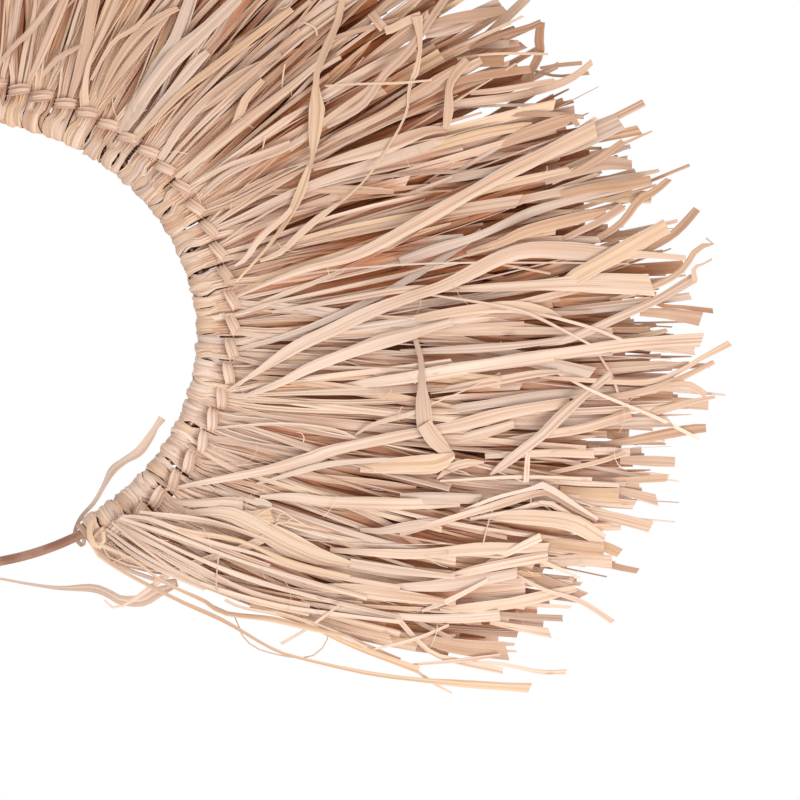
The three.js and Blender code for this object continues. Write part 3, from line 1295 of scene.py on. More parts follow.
@dataclass
class TwiningStrand:
    """A doubled raffia strand that twines over and under the bundles' necks, with both its ends loose."""

    lie: FringeLie
    number: int
    start_phase: float
    right_end: tuple[tuple[float, float, float, float], ...]
    line: tuple[float, ...] = (4.6, 7.0, 8.2, 10.2, 10.4, 9.6, 9.2, 9.2)
    crossing: float = 1.5
    reach: float = 5.5
    per_bundle: int = 16
    half_width: float = 1.5
    apart: float = 1.05
    thickness: float = 0.4
    wander: Triple = (0.3, 0.2, 0.12)
    front_power: float = 0.32
    width_share: Span = (0.68, 0.34)
    apart_share: Span = (0.75, 0.25)
    tone_and_hue: Span = (0.8, -0.3)
    end_tone_and_hue: Span = (0.56, -1.0)
    left_points: int = 3
    end_stations: int = 40
    crease: tuple[float, ...] = (0.0, 0.75, 1.0, 0.7, 0.0)
    crease_spread: float = 0.12
    fold: float = math.radians(36.0)
    roll: float = math.radians(9.0)
    first_seed: int = 700
    first_cell: int = 90000
    cells: int = 500

    @property
    def name(self) -> str:
        """The strand's CAD node."""
        return f"twining_strand_{self.number}"

    def lay(self, surface: FringeSurface) -> StripMesh:
        """Lays the strand.

        Args:
            surface: The fringe's surface, which it raises.

        Returns:
            The strips, not yet a piece.
        """
        rng = np.random.default_rng(self.first_seed + self.number)
        mesh = StripMesh(surface, self.first_cell + self.cells * self.number)
        steps = self.lie.bundles * self.per_bundle
        place = np.linspace(0.0, 1.0, steps + 1)
        phase = self.start_phase + place * self.lie.bundles * math.pi
        point, outward, _ = self.lie.hoop.at(place)
        hold = np.abs(np.sin(phase))
        knots = np.arange(self.lie.bundles + 1)
        shift, depth, breadth = (
            scale * np.interp(place * self.lie.bundles, knots, rng.normal(0, 1, len(knots))) for scale in self.wander
        )
        from_end = 2.0 * np.minimum(place, 1.0 - place)
        line = np.interp(from_end, np.linspace(0.0, 1.0, len(self.line)), self.line)
        out = line + self.crossing * np.cos(phase) + shift
        front = -(self.reach + depth) * np.sign(np.sin(phase)) * hold**self.front_power
        wide = in_space(outward)[None]
        least, more = self.width_share
        width = self.half_width * (least + more * hold) * (1.0 + breadth)
        least, more = self.apart_share
        tone, hue = (np.full(1, value) for value in self.tone_and_hue)
        for side in (-1.0, 1.0):
            flat = point + outward * (out + side * self.apart * (least + more * hold))[:, None]
            route = in_space(flat, front * (1.0 - 0.04 * side))[None]
            crease = np.array(self.crease) + rng.normal(0.0, self.crease_spread, 5)
            heights = np.broadcast_to(crease, (1, steps + 1, 5))
            fold, roll = (np.full((1, steps + 1), angle) for angle in (self.fold, -self.roll * side))
            strips = Strips(route, wide, width[None], roll, fold, heights, np.zeros(1), tone, hue, self.thickness)
            mesh.add(strips)
        self._lay_ends(mesh, rng, in_space(point, front))
        return mesh

    def _lay_ends(self, mesh: StripMesh, rng: np.random.Generator, route: Array) -> None:
        """Lays the strand's loose ends.

        Args:
            mesh: The strand's strips.
            rng: The strand's random numbers.
            route: The twined part's line.
        """
        middle = self.lie.hoop.middle_z
        right = np.array([(x, y, z + middle, half) for x, y, z, half in self.right_end])
        left = right[: self.left_points] * (-1.0, 1.0, 1.0, 1.0)
        for points, start in ((right, route[0]), (left, route[-1])):
            line = smooth_route(np.vstack([np.append(start, points[0, 3]), points]), self.end_stations)
            swirl = np.radians(25.0) * np.sin(np.linspace(0.0, 9.0, self.end_stations))
            mesh.add(flat_ribbon(line[:, :3], line[:, 3], swirl, rng, *self.end_tone_and_hue))


# Points worked out between two of a route's own points
STEPS_A_LEG = 24


def smooth_route(points: Array, count: int) -> Array:
    """A smooth line through points, evenly stepped.

    Args:
        points: Points, or rows of any numbers that start with a point's three.
        count: How many to return.

    Returns:
        The stepped rows.
    """
    padded = np.vstack([2 * points[0] - points[1], points, 2 * points[-1] - points[-2]])
    fine = []
    for first, start, end, last in zip(padded[:-3], padded[1:-2], padded[2:-1], padded[3:]):
        t = np.linspace(0.0, 1.0, STEPS_A_LEG, endpoint=False)[:, None]
        ahead, behind = (end - first) / 2, (last - start) / 2
        leg = start * (2 * t**3 - 3 * t**2 + 1) + ahead * (t**3 - 2 * t**2 + t)
        fine.append(leg + end * (3 * t**2 - 2 * t**3) + behind * (t**3 - t**2))
    dense = np.vstack([*fine, points[-1:]])
    run = np.concatenate([[0.0], np.cumsum(np.linalg.norm(np.diff(dense[:, :3], axis=0), axis=1))])
    wanted = np.linspace(0.0, run[-1], count)
    return np.stack([np.interp(wanted, run, dense[:, k]) for k in range(dense.shape[1])], -1)


# A loose ribbon's thickness in mm, and how far its pleats are folded, in degrees
RIBBON_THICKNESS = 0.22
RIBBON_FOLD = (4.0, 11.0)


def flat_ribbon(
    line: Array, half_width: Array, roll: Array, rng: np.random.Generator, tone: float, hue: float
) -> Strips:
    """One ribbon along a line, facing the front.

    Args:
        line: Its middle line.
        half_width: Half its width at each point.
        roll: Its roll at each point in radians.
        rng: Random numbers for its folds.
        tone: From dark, 0, to light, 1.
        hue: From silvery, -1, to golden, 1.

    Returns:
        The ribbon as a batch of one.
    """
    count = len(line)
    across = in_space(turned(unit(np.gradient(line, axis=0))[:, ::2]))
    zigzag = np.arange(5) % 2 * rng.uniform(0.4, 1.0, 5) + rng.uniform(0.0, 0.3, 5)
    heights = np.broadcast_to(zigzag, (1, count, 5))
    fold = np.full((1, count), math.radians(rng.uniform(*RIBBON_FOLD)))
    look = (rng.normal(0.0, 0.25, 1), np.full(1, tone), np.full(1, hue))
    return Strips(line[None], across[None], half_width[None], roll[None], fold, heights, *look, RIBBON_THICKNESS)


@dataclass(frozen=True)
class Ribbon:
    """A ribbon that lies on the front of the fringe.

    Each stop gives the photograph's column and row and the ribbon's width there in pixels.
    """

    stops: tuple[Triple, ...]
    tone: float = 0.8
    hue: float = 0.0
    rolls: tuple[float, ...] = (0.0, 0.0)
    tucked: float = 2.6
    first_guess: float = -14.0
    above: float = 0.35
    tuck_length: float = 15.0
    station_gap: float = 5.5
    width_wave: float = 0.08
    wave_length: Span = (4.0, 9.0)
    roll_spread: float = 5.0
    roll_length: float = 21.0
    tone_spread: float = 0.05
    hue_spread: float = 0.2

    def strips(self, photograph: Photograph, side: float, rng: np.random.Generator, surface: FringeSurface) -> Strips:
        """Lays the ribbon on the fringe, with its start tucked in among the strips.

        Args:
            photograph: The camera that the pixels belong to.
            side: 1 for the ribbon itself, -1 for its mirror image on the left.
            rng: Random numbers for its folds.
            surface: The fringe's surface.

        Returns:
            The ribbon as a batch of one.
        """
        stops = np.insert(np.array(self.stops, float), 2, 0.0, axis=1)
        spanned = np.hypot(*np.diff(stops[:, :2], axis=0).T).sum() / photograph.pixels_per_mm
        stations = int(np.clip(spanned / self.station_gap + 4, 7, 36))
        line = smooth_route(stops, stations)
        depth = np.full(stations, self.first_guess)
        run = np.linspace(0.0, spanned, stations)
        for _ in range(2):
            points = np.stack(photograph.point(line[:, 0], line[:, 1], depth), -1) * (side, 1.0, 1.0)
            depth = self.tucked * (1.0 - smooth_rise(run, 0.0, self.tuck_length)) - surface.rest(points) - self.above
        half_width = line[:, 3] / 2 / photograph.pixels_per_mm
        wave = np.sin(run / rng.uniform(*self.wave_length) + rng.uniform(0.0, 6.0))
        half_width = half_width * (1.0 + self.width_wave * wave)
        roll = np.interp(run, np.linspace(0.0, spanned, len(self.rolls)), np.radians(self.rolls))
        swing = np.radians(rng.normal(0.0, self.roll_spread))
        roll = roll + swing * np.sin(run / self.roll_length + rng.uniform(0.0, 6.0))
        tone, hue = self.tone + rng.normal(0.0, self.tone_spread), self.hue + rng.normal(0.0, self.hue_spread)
        return flat_ribbon(points, half_width, roll, rng, tone, hue)


# Stops, tone, hue, rolls in degrees and how far the start is tucked in
RIBBON_ROWS = (
    # The upper left, where the fringe stands steep
    (((27, 86, 4), (40, 58, 8), (52, 30, 9), (66, -4, 8)), 0.6),
    (((67, 107, 4), (76, 80, 8), (84, 52, 12), (95, -4, 12)), 0.64, -0.2),
    (((34, 86, 4), (56, 60, 6), (69, 52, 5), (80, 46, 3)), 0.62, -0.3),
    (((19, 87, 4), (22, 66, 5), (26, 45, 5), (33, 20, 4), (36, -4, 3)), 0.66),
    (((-8, 72, 4), (13, 47, 5), (30, 31, 6), (56, -2, 5)), 0.6, -0.4),
    (((86, 115, 7), (84, 98, 9), (85, 85, 6), (90, 60, 5), (104, 30, 6), (118, -4, 6)), 0.62, 0.3),
    (((100, 100, 4), (115, 80, 6), (135, 55, 8), (160, 25, 6), (180, -4, 5)), 0.6),
    (((94, 112, 3), (105, 85, 5), (118, 60, 7), (135, 36, 9), (160, 17, 7), (178, 8, 5)), 0.62, -0.2),
    (((91, 80, 3), (113, 42, 4), (136, 27, 5), (162, -4, 4)), 0.7),
    (((120, 134, 8), (141, 100, 18), (158, 67, 15), (175, 38, 10), (190, -4, 8)), 0.62, -0.9),
    (((134, 112, 8), (150, 88, 15), (174, 58, 16), (208, 27, 14), (240, -4, 10)), 0.66, -0.8),
    (((160, 160, 7), (187, 120, 9), (227, 83, 8), (281, 54, 6)), 0.66, -0.2),
    (((131, 139, 4), (163, 102, 8), (195, 64, 10), (208, 52, 7)), 0.74, -0.4),
    (((136, 140, 4), (180, 94, 7), (214, 67, 8), (267, 27, 8), (292, 9, 6)), 0.66, 0.3),
    (((176, 178, 5), (214, 147, 9), (247, 120, 10), (290, 87, 8), (320, 62, 5)), 0.66, 0.1),
    (((230, 134, 7), (238, 120, 9), (246, 99, 9), (263, 80, 6)), 0.6, 0.6, (0, 30, 0)),
    (((198, 198, 6), (227, 174, 7), (261, 158, 7), (290, 146, 6), (330, 118, 4)), 0.55, -0.7),
    (((194, 185, 4), (227, 166, 5), (263, 153, 5), (290, 142, 4)), 0.72, 0.3),
    (((190, 116, 4), (214, 102, 6), (261, 64, 4), (300, 30, 4)), 0.64),
    # The upper right
    (((290, 150, 5), (330, 118, 7), (375, 85, 7), (410, 45, 5), (428, 14, 4)), 0.62, 0.3),
    (((322, 145, 6), (349, 131, 8), (384, 114, 9), (410, 97, 10), (437, 80, 9), (457, 67, 6)), 0.68, -0.1),
    (((326, 125, 8), (346, 115, 9), (365, 102, 9), (384, 75, 8), (404, 56, 9), (416, 41, 8), (430, 20, 8),
        (447, -4, 8)), 0.7, -0.5),
    (((425, 34, 8), (452, 26, 16), (480, 14, 16), (500, 3, 12)), 0.42, -0.9),
    (((430, 24, 6), (450, 19, 9), (480, 14, 11), (505, 10, 8)), 0.5, -0.6),
    (((475, 46, 4), (500, 44, 8), (519, 43, 6)), 0.42, -0.5),
    (((462, 64, 8), (485, 61, 12), (504, 60, 14)), 0.32, 0.2),
    (((454, 55, 3), (485, 42, 4), (505, 34, 6), (530, 27, 7), (541, 22, 6)), 0.46, -0.2),
    (((541, 22, 9), (539, 38, 10), (540, 50, 9), (535, 64, 8), (523, 82, 8)), 0.44, 0.1, (0, 20, 0, -20)),
    (((450, 52, 2), (480, 37, 3), (505, 25, 3), (523, 16, 3)), 0.9, -0.2),
    (((540, 68, 3), (560, 65, 4), (582, 63, 4)), 0.5, -0.5),
    (((535, 71, 3), (558, 76, 3), (589, 73, 4)), 0.42, -0.7),
    (((430, 90, 5), (470, 78, 8), (500, 73, 8), (530, 69, 8)), 0.56, 0.2),
    (((450, 104, 6), (480, 101, 8), (510, 97, 9), (550, 87, 8), (575, 76, 7), (592, 62, 6)), 0.86, 0.1, (0, 0, 25)),
    (((470, 93, 4), (500, 90, 6), (535, 84, 6), (555, 80, 4)), 0.8),
    (((457, 59, 3), (480, 55, 2.5), (506, 53.5, 2.5), (548, 54, 2.5)), 0.85, -0.2),
    (((494, 115, 4), (545, 114, 5), (584, 117, 5)), 0.4, -0.4),
    (((430, 148, 7), (480, 134, 10), (520, 127, 9), (533, 125, 6)), 0.6, 0.5),
    (((490, 147, 6), (530, 132, 12), (565, 120, 11), (572, 117, 8), (578, 126, 5)), 0.52, 0.4),
    (((430, 182, 7), (467, 176, 9), (503, 168, 7), (533, 154, 7)), 0.6, -0.8),
    (((545, 182, 6), (575, 172, 9), (603, 163, 14), (632, 165, 10)), 0.4, -0.6),
    (((552, 183, 4), (575, 172, 5), (600, 158, 7), (623, 141, 6)), 0.58, -0.1),
    (((313, 168, 6), (350, 157, 12), (384, 147, 14), (410, 137, 13), (430, 130, 9), (446, 130, 5)), 0.72, 0.1),
    (((446, 129, 6), (449, 108, 10), (449, 88, 7), (455, 74, 12), (468, 60, 9)), 0.66, 0.1, (0, 20, -30, 0), 0.0),
    (((400, 262, 10), (440, 248, 10), (480, 235, 8), (534, 211, 9), (585, 197, 8), (650, 181, 8)), 0.62, -0.9),
    (((467, 254, 6), (500, 243, 9), (527, 231, 12), (574, 219, 11), (606, 212, 8)), 0.62, 0.5),
    (((540, 202, 7), (585, 190, 9), (625, 185, 11), (651, 180, 10)), 0.52, 0.3),
    (((585, 246, 6), (620, 224, 8), (639, 200, 8), (655, 191, 7), (669, 179, 6)), 0.56, 0.1),
    (((553, 243, 4), (580, 231, 7), (604, 219, 8), (623, 206, 8)), 0.66, -0.4),
    (((540, 160, 8), (575, 145, 14), (596, 132, 20), (620, 121, 20)), 0.5, -0.9),
    (((225, 302, 2), (266, 284, 4), (307, 269, 7), (354, 256, 9), (410, 227, 13), (497, 178, 13), (537, 158, 15),
        (596, 129, 16)), 0.8, 0.1),
    (((343, -4, 6), (338, 20, 8), (327, 45, 9), (318, 68, 7), (316, 82, 5), (316, 95, 10), (317, 108, 17),
        (315, 130, 14), (313, 150, 7), (312, 160, 3), (310, 167, 5)), 0.7, 0.7, (0, 30, 20, 0, 0, 40), 0.0),
    (((310, 164, 5), (303, 185, 9), (296, 202, 8), (285, 223, 6), (266, 249, 3),
        (236, 282, 2)), 0.72, 0.7, (0, 20, -20)),
    (((300, 196, 4), (287, 214, 5), (260, 238, 7), (246, 258, 6), (235, 266, 2)), 0.7, 0.4),
    (((371, 13, 8), (384, 29, 10)), 0.7, 0.2, (0, 0), 0.0),
    (((385, 31, 8), (394, 28, 8), (407, 21, 8), (421, 16, 9)), 0.72, 0.1, (0, 0), 0.0),
    (((417, 16, 11), (419, 30, 8), (420, 50, 4), (415, 75, 6), (409, 87, 3), (406, 114, 2.5), (387, 149, 2.2),
        (365, 180, 2), (344, 200, 2)), 0.7, 0.2, (0, 0), 0.0),
    (((344, 200, 2.5), (321, 216, 6), (300, 234, 7), (281, 252, 6), (260, 261, 3)), 0.68, -0.2),
    (((325, 86, 2), (360, 84, 2), (400, 83, 2.5), (432, 80, 2)), 0.9),
    # The right
    (((590, 275, 3), (630, 258, 6), (665, 240, 8), (682, 226, 8), (697, 209, 8)), 0.46, -0.2),
    (((640, 290, 6), (660, 305, 5), (682, 307, 4), (713, 311, 5)), 0.36, -0.4),
    (((610, 300, 3), (650, 288, 6), (680, 272, 7), (698, 248, 6), (711, 246, 4), (713, 240, 2),
        (706, 238, 1.5)), 0.55, 0.1),
    (((640, 312, 8), (670, 314, 12), (701, 319, 14)), 0.62, -0.2),
    (((272, 312, 3), (347, 299, 6), (400, 290, 7), (440, 288, 6)), 0.7, -0.6),
    (((440, 290, 5), (520, 286, 10), (560, 284, 14), (593, 283, 18), (652, 285, 24)), 0.86, 0.1),
    (((400, 322, 7), (467, 310, 10), (514, 307, 12), (545, 312, 9), (560, 318, 5)), 0.74, 0.4),
    (((240, 398, 3), (280, 383, 8), (314, 366, 10), (374, 344, 14), (410, 334, 12), (452, 322, 7)), 0.76, -0.1),
    (((225, 392, 2), (254, 374, 5), (294, 348, 12), (334, 329, 14), (370, 312, 12), (410, 297, 11), (448, 284, 12),
        (500, 258, 14), (530, 250, 17), (570, 251, 17), (612, 254, 13), (650, 255, 7), (686, 258, 5)), 0.8, 0.1),
    (((558, 288, 6), (579, 275, 16), (630, 247, 17), (667, 226, 17)), 0.84, 0.3),
    (((400, 352, 5), (467, 349, 8), (520, 345, 7), (572, 338, 6)), 0.72, -0.8),
    (((340, 386, 4), (400, 379, 12), (467, 368, 13), (520, 360, 13), (610, 347, 12), (660, 342, 13),
        (702, 340, 13)), 0.82, 0.1),
    (((540, 345, 3), (569, 339, 7), (615, 319, 9), (655, 301, 8), (694, 278, 10)), 0.74, -0.4),
    (((695, 281, 6), (694, 268, 4), (703, 264, 2), (712, 259, 2.5)), 0.8, -0.2, (0, 0), 0.0),
    (((520, 310, 2), (540, 314, 3), (589, 327, 3), (622, 340, 3)), 0.9),
    (((430, 295, 2), (494, 305, 3), (534, 316, 3), (591, 345, 2.5)), 0.9, -0.1),
    (((599, 355, 2.5), (612, 376, 2.5), (619, 396, 2)), 0.85),
    (((540, 377, 3), (620, 382, 5), (658, 380, 5), (687, 367, 5), (700, 359, 5), (730, 343, 6)), 0.7, 0.1),
    (((580, 398, 4), (620, 396, 7), (660, 387, 8), (690, 374, 6), (714, 362, 5)), 0.66),
    (((645, 392, 5), (668, 386, 7), (689, 385, 7), (706, 395, 6)), 0.6, -0.2),
    (((630, 418, 5), (658, 411, 7), (695, 401, 6), (715, 397, 3)), 0.62),
    (((600, 445, 6), (634, 440, 8), (687, 430, 11), (706, 428, 9)), 0.6, -0.1),
    (((430, 392, 5), (485, 383, 8), (534, 374, 8), (560, 372, 4)), 0.78),
    (((430, 412, 5), (480, 405, 9), (547, 396, 11), (588, 392, 9)), 0.6, -0.7),
    # The lower middle and right
    (((213, 428, 2), (280, 424, 3.5), (334, 430, 3.5), (355, 438, 2.5)), 0.78, -0.2),
    (((354, 436, 2), (374, 424, 4), (410, 414, 5), (432, 404, 3)), 0.72, -0.5),
    (((500, 441, 5), (548, 434, 8), (585, 428, 9), (631, 414, 13)), 0.68, -0.1),
    (((444, 443, 7), (480, 434, 10), (514, 424, 9)), 0.76, 0.1),
    (((165, 490, 3), (200, 483, 5), (254, 473, 9), (307, 460, 13), (334, 450, 12), (410, 434, 10), (456, 426, 12),
        (507, 413, 13), (570, 402, 9)), 0.7, 0.4),
    (((257, 484, 3), (320, 466, 6), (361, 461, 5), (400, 459, 3)), 0.74),
    (((415, 338, 5), (421, 360, 6), (422, 385, 8), (423, 402, 14), (425, 428, 15)), 0.6, -0.7, (0, 20, 0)),
    (((424, 424, 14), (436, 441, 15), (453, 457, 6)), 0.6, -0.5, (0, 0), 0.0),
    (((360, 468, 8), (390, 466, 16), (415, 465, 20), (438, 463, 18), (454, 455, 5)), 0.78, 0.2),
    (((437, 479, 2), (450, 468, 8), (467, 463, 9), (484, 462, 2)), 0.84, 0.1),
    (((485, 456, 5), (547, 453, 8), (594, 454, 8)), 0.76),
    (((580, 452, 6), (605, 451, 8), (630, 453, 9)), 0.72, -0.2),
    (((620, 460, 7), (650, 461, 10), (675, 462, 10)), 0.58, -0.2),
    (((590, 481, 4), (630, 480, 6), (667, 478, 7)), 0.56),
    (((560, 490, 9), (590, 494, 13), (619, 495, 13)), 0.5, 0.5),
    (((600, 487, 5), (622, 491, 7), (657, 500, 11)), 0.58, 0.1),
    (((560, 506, 7), (612, 517, 11), (651, 527, 13)), 0.7, -0.1),
    (((541, 475, 4), (594, 463, 5), (626, 453, 5)), 0.72),
    (((540, 480, 4), (580, 483, 5), (619, 485, 5)), 0.8),
    (((440, 481, 2), (520, 477, 3.5), (592, 479, 3.5)), 0.95, -0.2),
    (((526, 482, 5), (528, 452, 5)), 0.85, -0.2, (0, 0), 0.0),
    (((490, 475, 2), (502, 466, 8), (542, 435, 11), (558, 419, 11), (585, 395, 8), (611, 374, 8)), 0.76, -0.3),
    (((555, 372, 2), (597, 393, 3), (655, 417, 3.5), (699, 439, 3)), 0.86, 0.1),
    (((170, 503, 5), (200, 503, 8), (225, 502, 11), (243, 504, 13)), 0.74, 0.2),
    (((240, 515, 5), (256, 515, 10), (272, 515, 15)), 0.7, 0.9),
    (((245, 500, 5), (262, 502, 7), (272, 506, 4)), 0.88),
    (((260, 497, 4), (290, 497, 8), (330, 502, 12), (410, 504, 12), (460, 502, 8)), 0.78, 0.3),
    (((360, 530, 4), (380, 531, 7), (400, 528, 10), (434, 523, 9), (446, 522, 4)), 0.64, -0.9),
    (((400, 498, 9), (440, 498, 12), (480, 499, 10)), 0.62, -0.7),
    (((400, 535, 4), (440, 522, 6), (494, 506, 8), (534, 494, 7), (548, 493, 6), (572, 507, 5),
        (597, 521, 2)), 0.88, 0.1),
    (((460, 512, 3), (495, 498, 4), (530, 489, 4), (542, 485, 7), (556, 492, 6), (577, 506, 4), (598, 519, 3)), 0.95),
    (((470, 519, 3), (510, 512, 5), (545, 503, 6), (566, 513, 5), (588, 526, 3)), 0.85, 0.2),
    (((480, 516, 6), (540, 518, 16), (575, 524, 18), (604, 541, 12)), 0.86, 0.4),
    (((535, 541, 8), (570, 546, 14), (604, 550, 14)), 0.5, 0.5),
    (((540, 563, 8), (580, 560, 13), (612, 562, 14)), 0.86, 0.2),
    (((595, 542, 8), (608, 548, 10), (620, 553, 9)), 0.4, 0.4),
    (((600, 562, 7), (618, 567, 7), (638, 571, 6)), 0.44, -0.2),
    (((330, 550, 5), (380, 553, 8), (420, 554, 10), (480, 549, 12), (548, 548, 10)), 0.84),
    (((300, 586, 4), (354, 590, 12), (407, 597, 12), (455, 603, 5)), 0.84),
    (((387, 587, 4), (434, 586, 12), (480, 580, 13), (517, 573, 9)), 0.8, -0.4),
    (((447, 577, 5), (480, 569, 9), (530, 559, 11), (548, 556, 8)), 0.82),
    (((487, 563, 4), (510, 552, 7), (528, 543, 8), (541, 537, 8)), 0.88, 0.1),
    (((440, 610, 6), (500, 605, 11), (540, 597, 12), (576, 588, 6)), 0.86, 0.1),
    (((515, 575, 4), (545, 590, 4), (580, 601, 5), (613, 622, 5)), 0.84, -0.1),
    (((523, 553, 2), (550, 565, 4), (580, 578, 2.5)), 0.9),
    (((300, 602, 4), (354, 611, 5), (420, 618, 8), (461, 618, 9), (500, 615, 11)), 0.86),
    (((422, 611, 3), (454, 598, 5), (488, 580, 4)), 0.92),
    (((490, 622, 5), (520, 628, 7), (550, 633, 9)), 0.76, 0.2),
    (((185, 513, 5), (213, 512, 10), (233, 515, 14), (260, 528, 20), (287, 543, 22), (320, 557, 18),
        (352, 564, 4)), 0.86, 0.2),
    (((350, 563, 9), (380, 568, 9), (410, 572, 8), (455, 577, 5)), 0.9, 0.0, (0, 0), 0.4),
    (((104, 600, 2), (117, 608, 3), (146, 591, 5), (170, 573, 7), (210, 558, 7), (240, 549, 7),
        (265, 538, 8)), 0.8, 0.5, (0, 0), 0.0),
    (((118, 521, 2), (140, 519, 2.5), (170, 518, 3), (213, 537, 2.5)), 0.88, -0.2),
    # Thin strips that fan out from the end knot
    (((103, 531, 3), (128, 551, 4), (160, 570, 4), (205, 590, 3)), 0.8, 0.1),
    (((106, 529, 3), (140, 553, 4), (190, 580, 4), (240, 600, 4)), 0.84, -0.2),
    (((109, 526, 4), (150, 548, 5), (200, 573, 4), (262, 596, 4)), 0.78, 0.2),
    (((112, 522, 4), (160, 542, 5), (220, 567, 4), (280, 588, 4)), 0.85, -0.3),
    (((115, 519, 4), (160, 533, 4), (215, 552, 5), (285, 573, 4)), 0.8),
    (((118, 516, 3), (160, 524, 4), (212, 545, 4), (270, 566, 4)), 0.86, 0.1),
    (((112, 523, 3), (162, 556, 4), (215, 585, 4), (273, 610, 3), (326, 628, 4), (400, 660, 4)), 0.8),
    (((116, 521, 3), (170, 553, 4), (236, 586, 3), (301, 608, 5), (400, 634, 6)), 0.86, 0.2),
    (((118, 519, 3), (186, 553, 3), (252, 580, 5), (326, 600, 4), (400, 618, 6)), 0.8, -0.3),
    (((120, 518, 3), (178, 537, 4), (244, 562, 3), (309, 582, 5), (367, 598, 5)), 0.88),
    (((122, 516, 3), (150, 519, 4), (203, 540, 5), (252, 553, 4), (309, 571, 5), (400, 588, 6)), 0.82, 0.2),
    (((116, 525, 3), (146, 540, 5), (200, 567, 3), (250, 592, 5), (310, 606, 4)), 0.84, -0.3),
    (((112, 522, 2), (140, 545, 3), (182, 574, 3), (244, 599, 3), (309, 615, 3)), 0.84, 0.2),
    (((140, 512, 3), (180, 517, 5), (220, 524, 5), (269, 541, 3)), 0.8, -0.2),
    (((150, 520, 3), (190, 532, 5), (240, 541, 4), (290, 562, 5), (350, 577, 4)), 0.78, 0.3),
    (((180, 570, 3), (203, 584, 3), (277, 605, 4), (342, 615, 4), (400, 622, 4)), 0.85),
    (((225, 600, 3), (244, 608, 3), (309, 622, 4), (400, 660, 3)), 0.85, 0.1),
    (((281, 644, 3), (305, 630, 3), (326, 615, 3), (342, 603, 2)), 0.86, -0.1),
    # Threads and a curl
    (((277, 521, 1.5), (280, 514, 1.5), (288, 513, 1.5), (292, 518, 1.5), (287, 523, 1.5), (278, 523, 1.5),
        (272, 527, 1.2)), 0.75, 0.0, (0, 0), 0.0),
    (((219, 552, 1.3), (217, 570, 1.3), (216, 585, 1.3), (219, 593, 1.2)), 0.75),
    (((110, 563, 1.4), (121, 559, 1.3), (132, 556, 1.2)), 0.8, -0.3),
    (((214, 606, 1.3), (236, 617, 1.3), (240, 632, 1.3), (256, 648, 1.3), (290, 657, 1.3), (312, 656, 1.3),
        (326, 643, 1.3), (328, 628, 1.2)), 0.5, -0.5),
    (((248, 522, 1.3), (272, 508, 1.4), (291, 517, 1.3), (303, 524, 1.3), (316, 529, 1.2)), 0.8),
    (((500, 373, 1.4), (470, 388, 1.3), (432, 404, 1.3)), 0.85),
    (((496, 503, 1.4), (490, 517, 1.4), (483, 544, 1.3)), 0.85, 0.3),
    (((531, 490, 1.3), (531, 508, 1.3)), 0.8),
    (((258, 163, 1.6), (262, 151, 1.5), (265, 139, 1.3)), 0.85),
    (((282, 88, 1.8), (283, 76, 1.6), (285, 64, 1.3)), 0.8),
    (((303, 22, 1.5), (315, 28, 2), (317, 36, 1.5)), 0.9, 0.0, (0, 0), 0.0),
    # Strips that hang clear of the lower edge
    (((400, 634, 4), (427, 640, 9), (460, 647, 15), (507, 651, 20)), 0.6, 0.3),
    (((250, 606, 3), (300, 619, 3), (327, 634, 4), (367, 651, 6), (419, 670, 8)), 0.76, 0.3),
    (((399, 620, 5), (416, 639, 5), (434, 654, 5), (461, 662, 6), (503, 671, 7)), 0.8, 0.2),
    (((367, 651, 2), (415, 639, 3), (449, 625, 2.5)), 0.85),
    (((407, 665, 2), (454, 661, 4), (501, 655, 3)), 0.85),
    (((303, 618, 2), (340, 634, 2.5), (367, 648, 2.5)), 0.85),
    (((418, 672, 3), (435, 684, 2.5), (452, 693, 2)), 0.85, -0.3),
    (((455, 661, 3), (500, 664, 4), (540, 672, 5), (566, 672, 5)), 0.9, -0.2),
    (((90, 530, 4), (94, 550, 4), (110, 564, 3), (144, 583, 4), (184, 603, 4), (224, 621, 4), (271, 648, 3),
        (300, 658, 3), (367, 673, 4), (420, 680, 5), (480, 685, 8), (530, 688, 10)), 0.8, 0.3, (0, 0), 0.0),
    (((97, 544, 4), (130, 558, 3), (164, 582, 3), (204, 601, 4), (224, 613, 5), (271, 619, 6), (300, 626, 5),
        (347, 637, 3)), 0.78, 0.3, (0, 0), 0.0),
    (((92, 520, 4), (89, 530, 5), (92, 542, 6), (98, 548, 5), (104, 541, 4), (103, 532, 3)), 0.7, 0.4, (0, 0), 0.0),
)
RIBBONS = tuple(Ribbon(*row) for row in RIBBON_ROWS)


@dataclass
class FrontRibbons:
    """The ribbons that lie on the front of the fringe: the photograph's on the right, and fewer on the left."""

    photograph: Photograph
    mirrored_every: int = 2
    seed: int = 52
    first_cell: int = 95000
    name: str = "front_ribbons"

    def lay(self, surface: FringeSurface) -> StripMesh:
        """Lays the ribbons, each on what lies there already.

        Args:
            surface: The fringe's surface, which they raise.

        Returns:
            The strips, not yet a piece.
        """
        rng = np.random.default_rng(self.seed)
        mesh = StripMesh(surface, self.first_cell)
        for side, ribbons in ((1.0, RIBBONS), (-1.0, RIBBONS[:: self.mirrored_every])):
            for ribbon in ribbons:
                mesh.add(ribbon.strips(self.photograph, side, rng, surface))
        return mesh


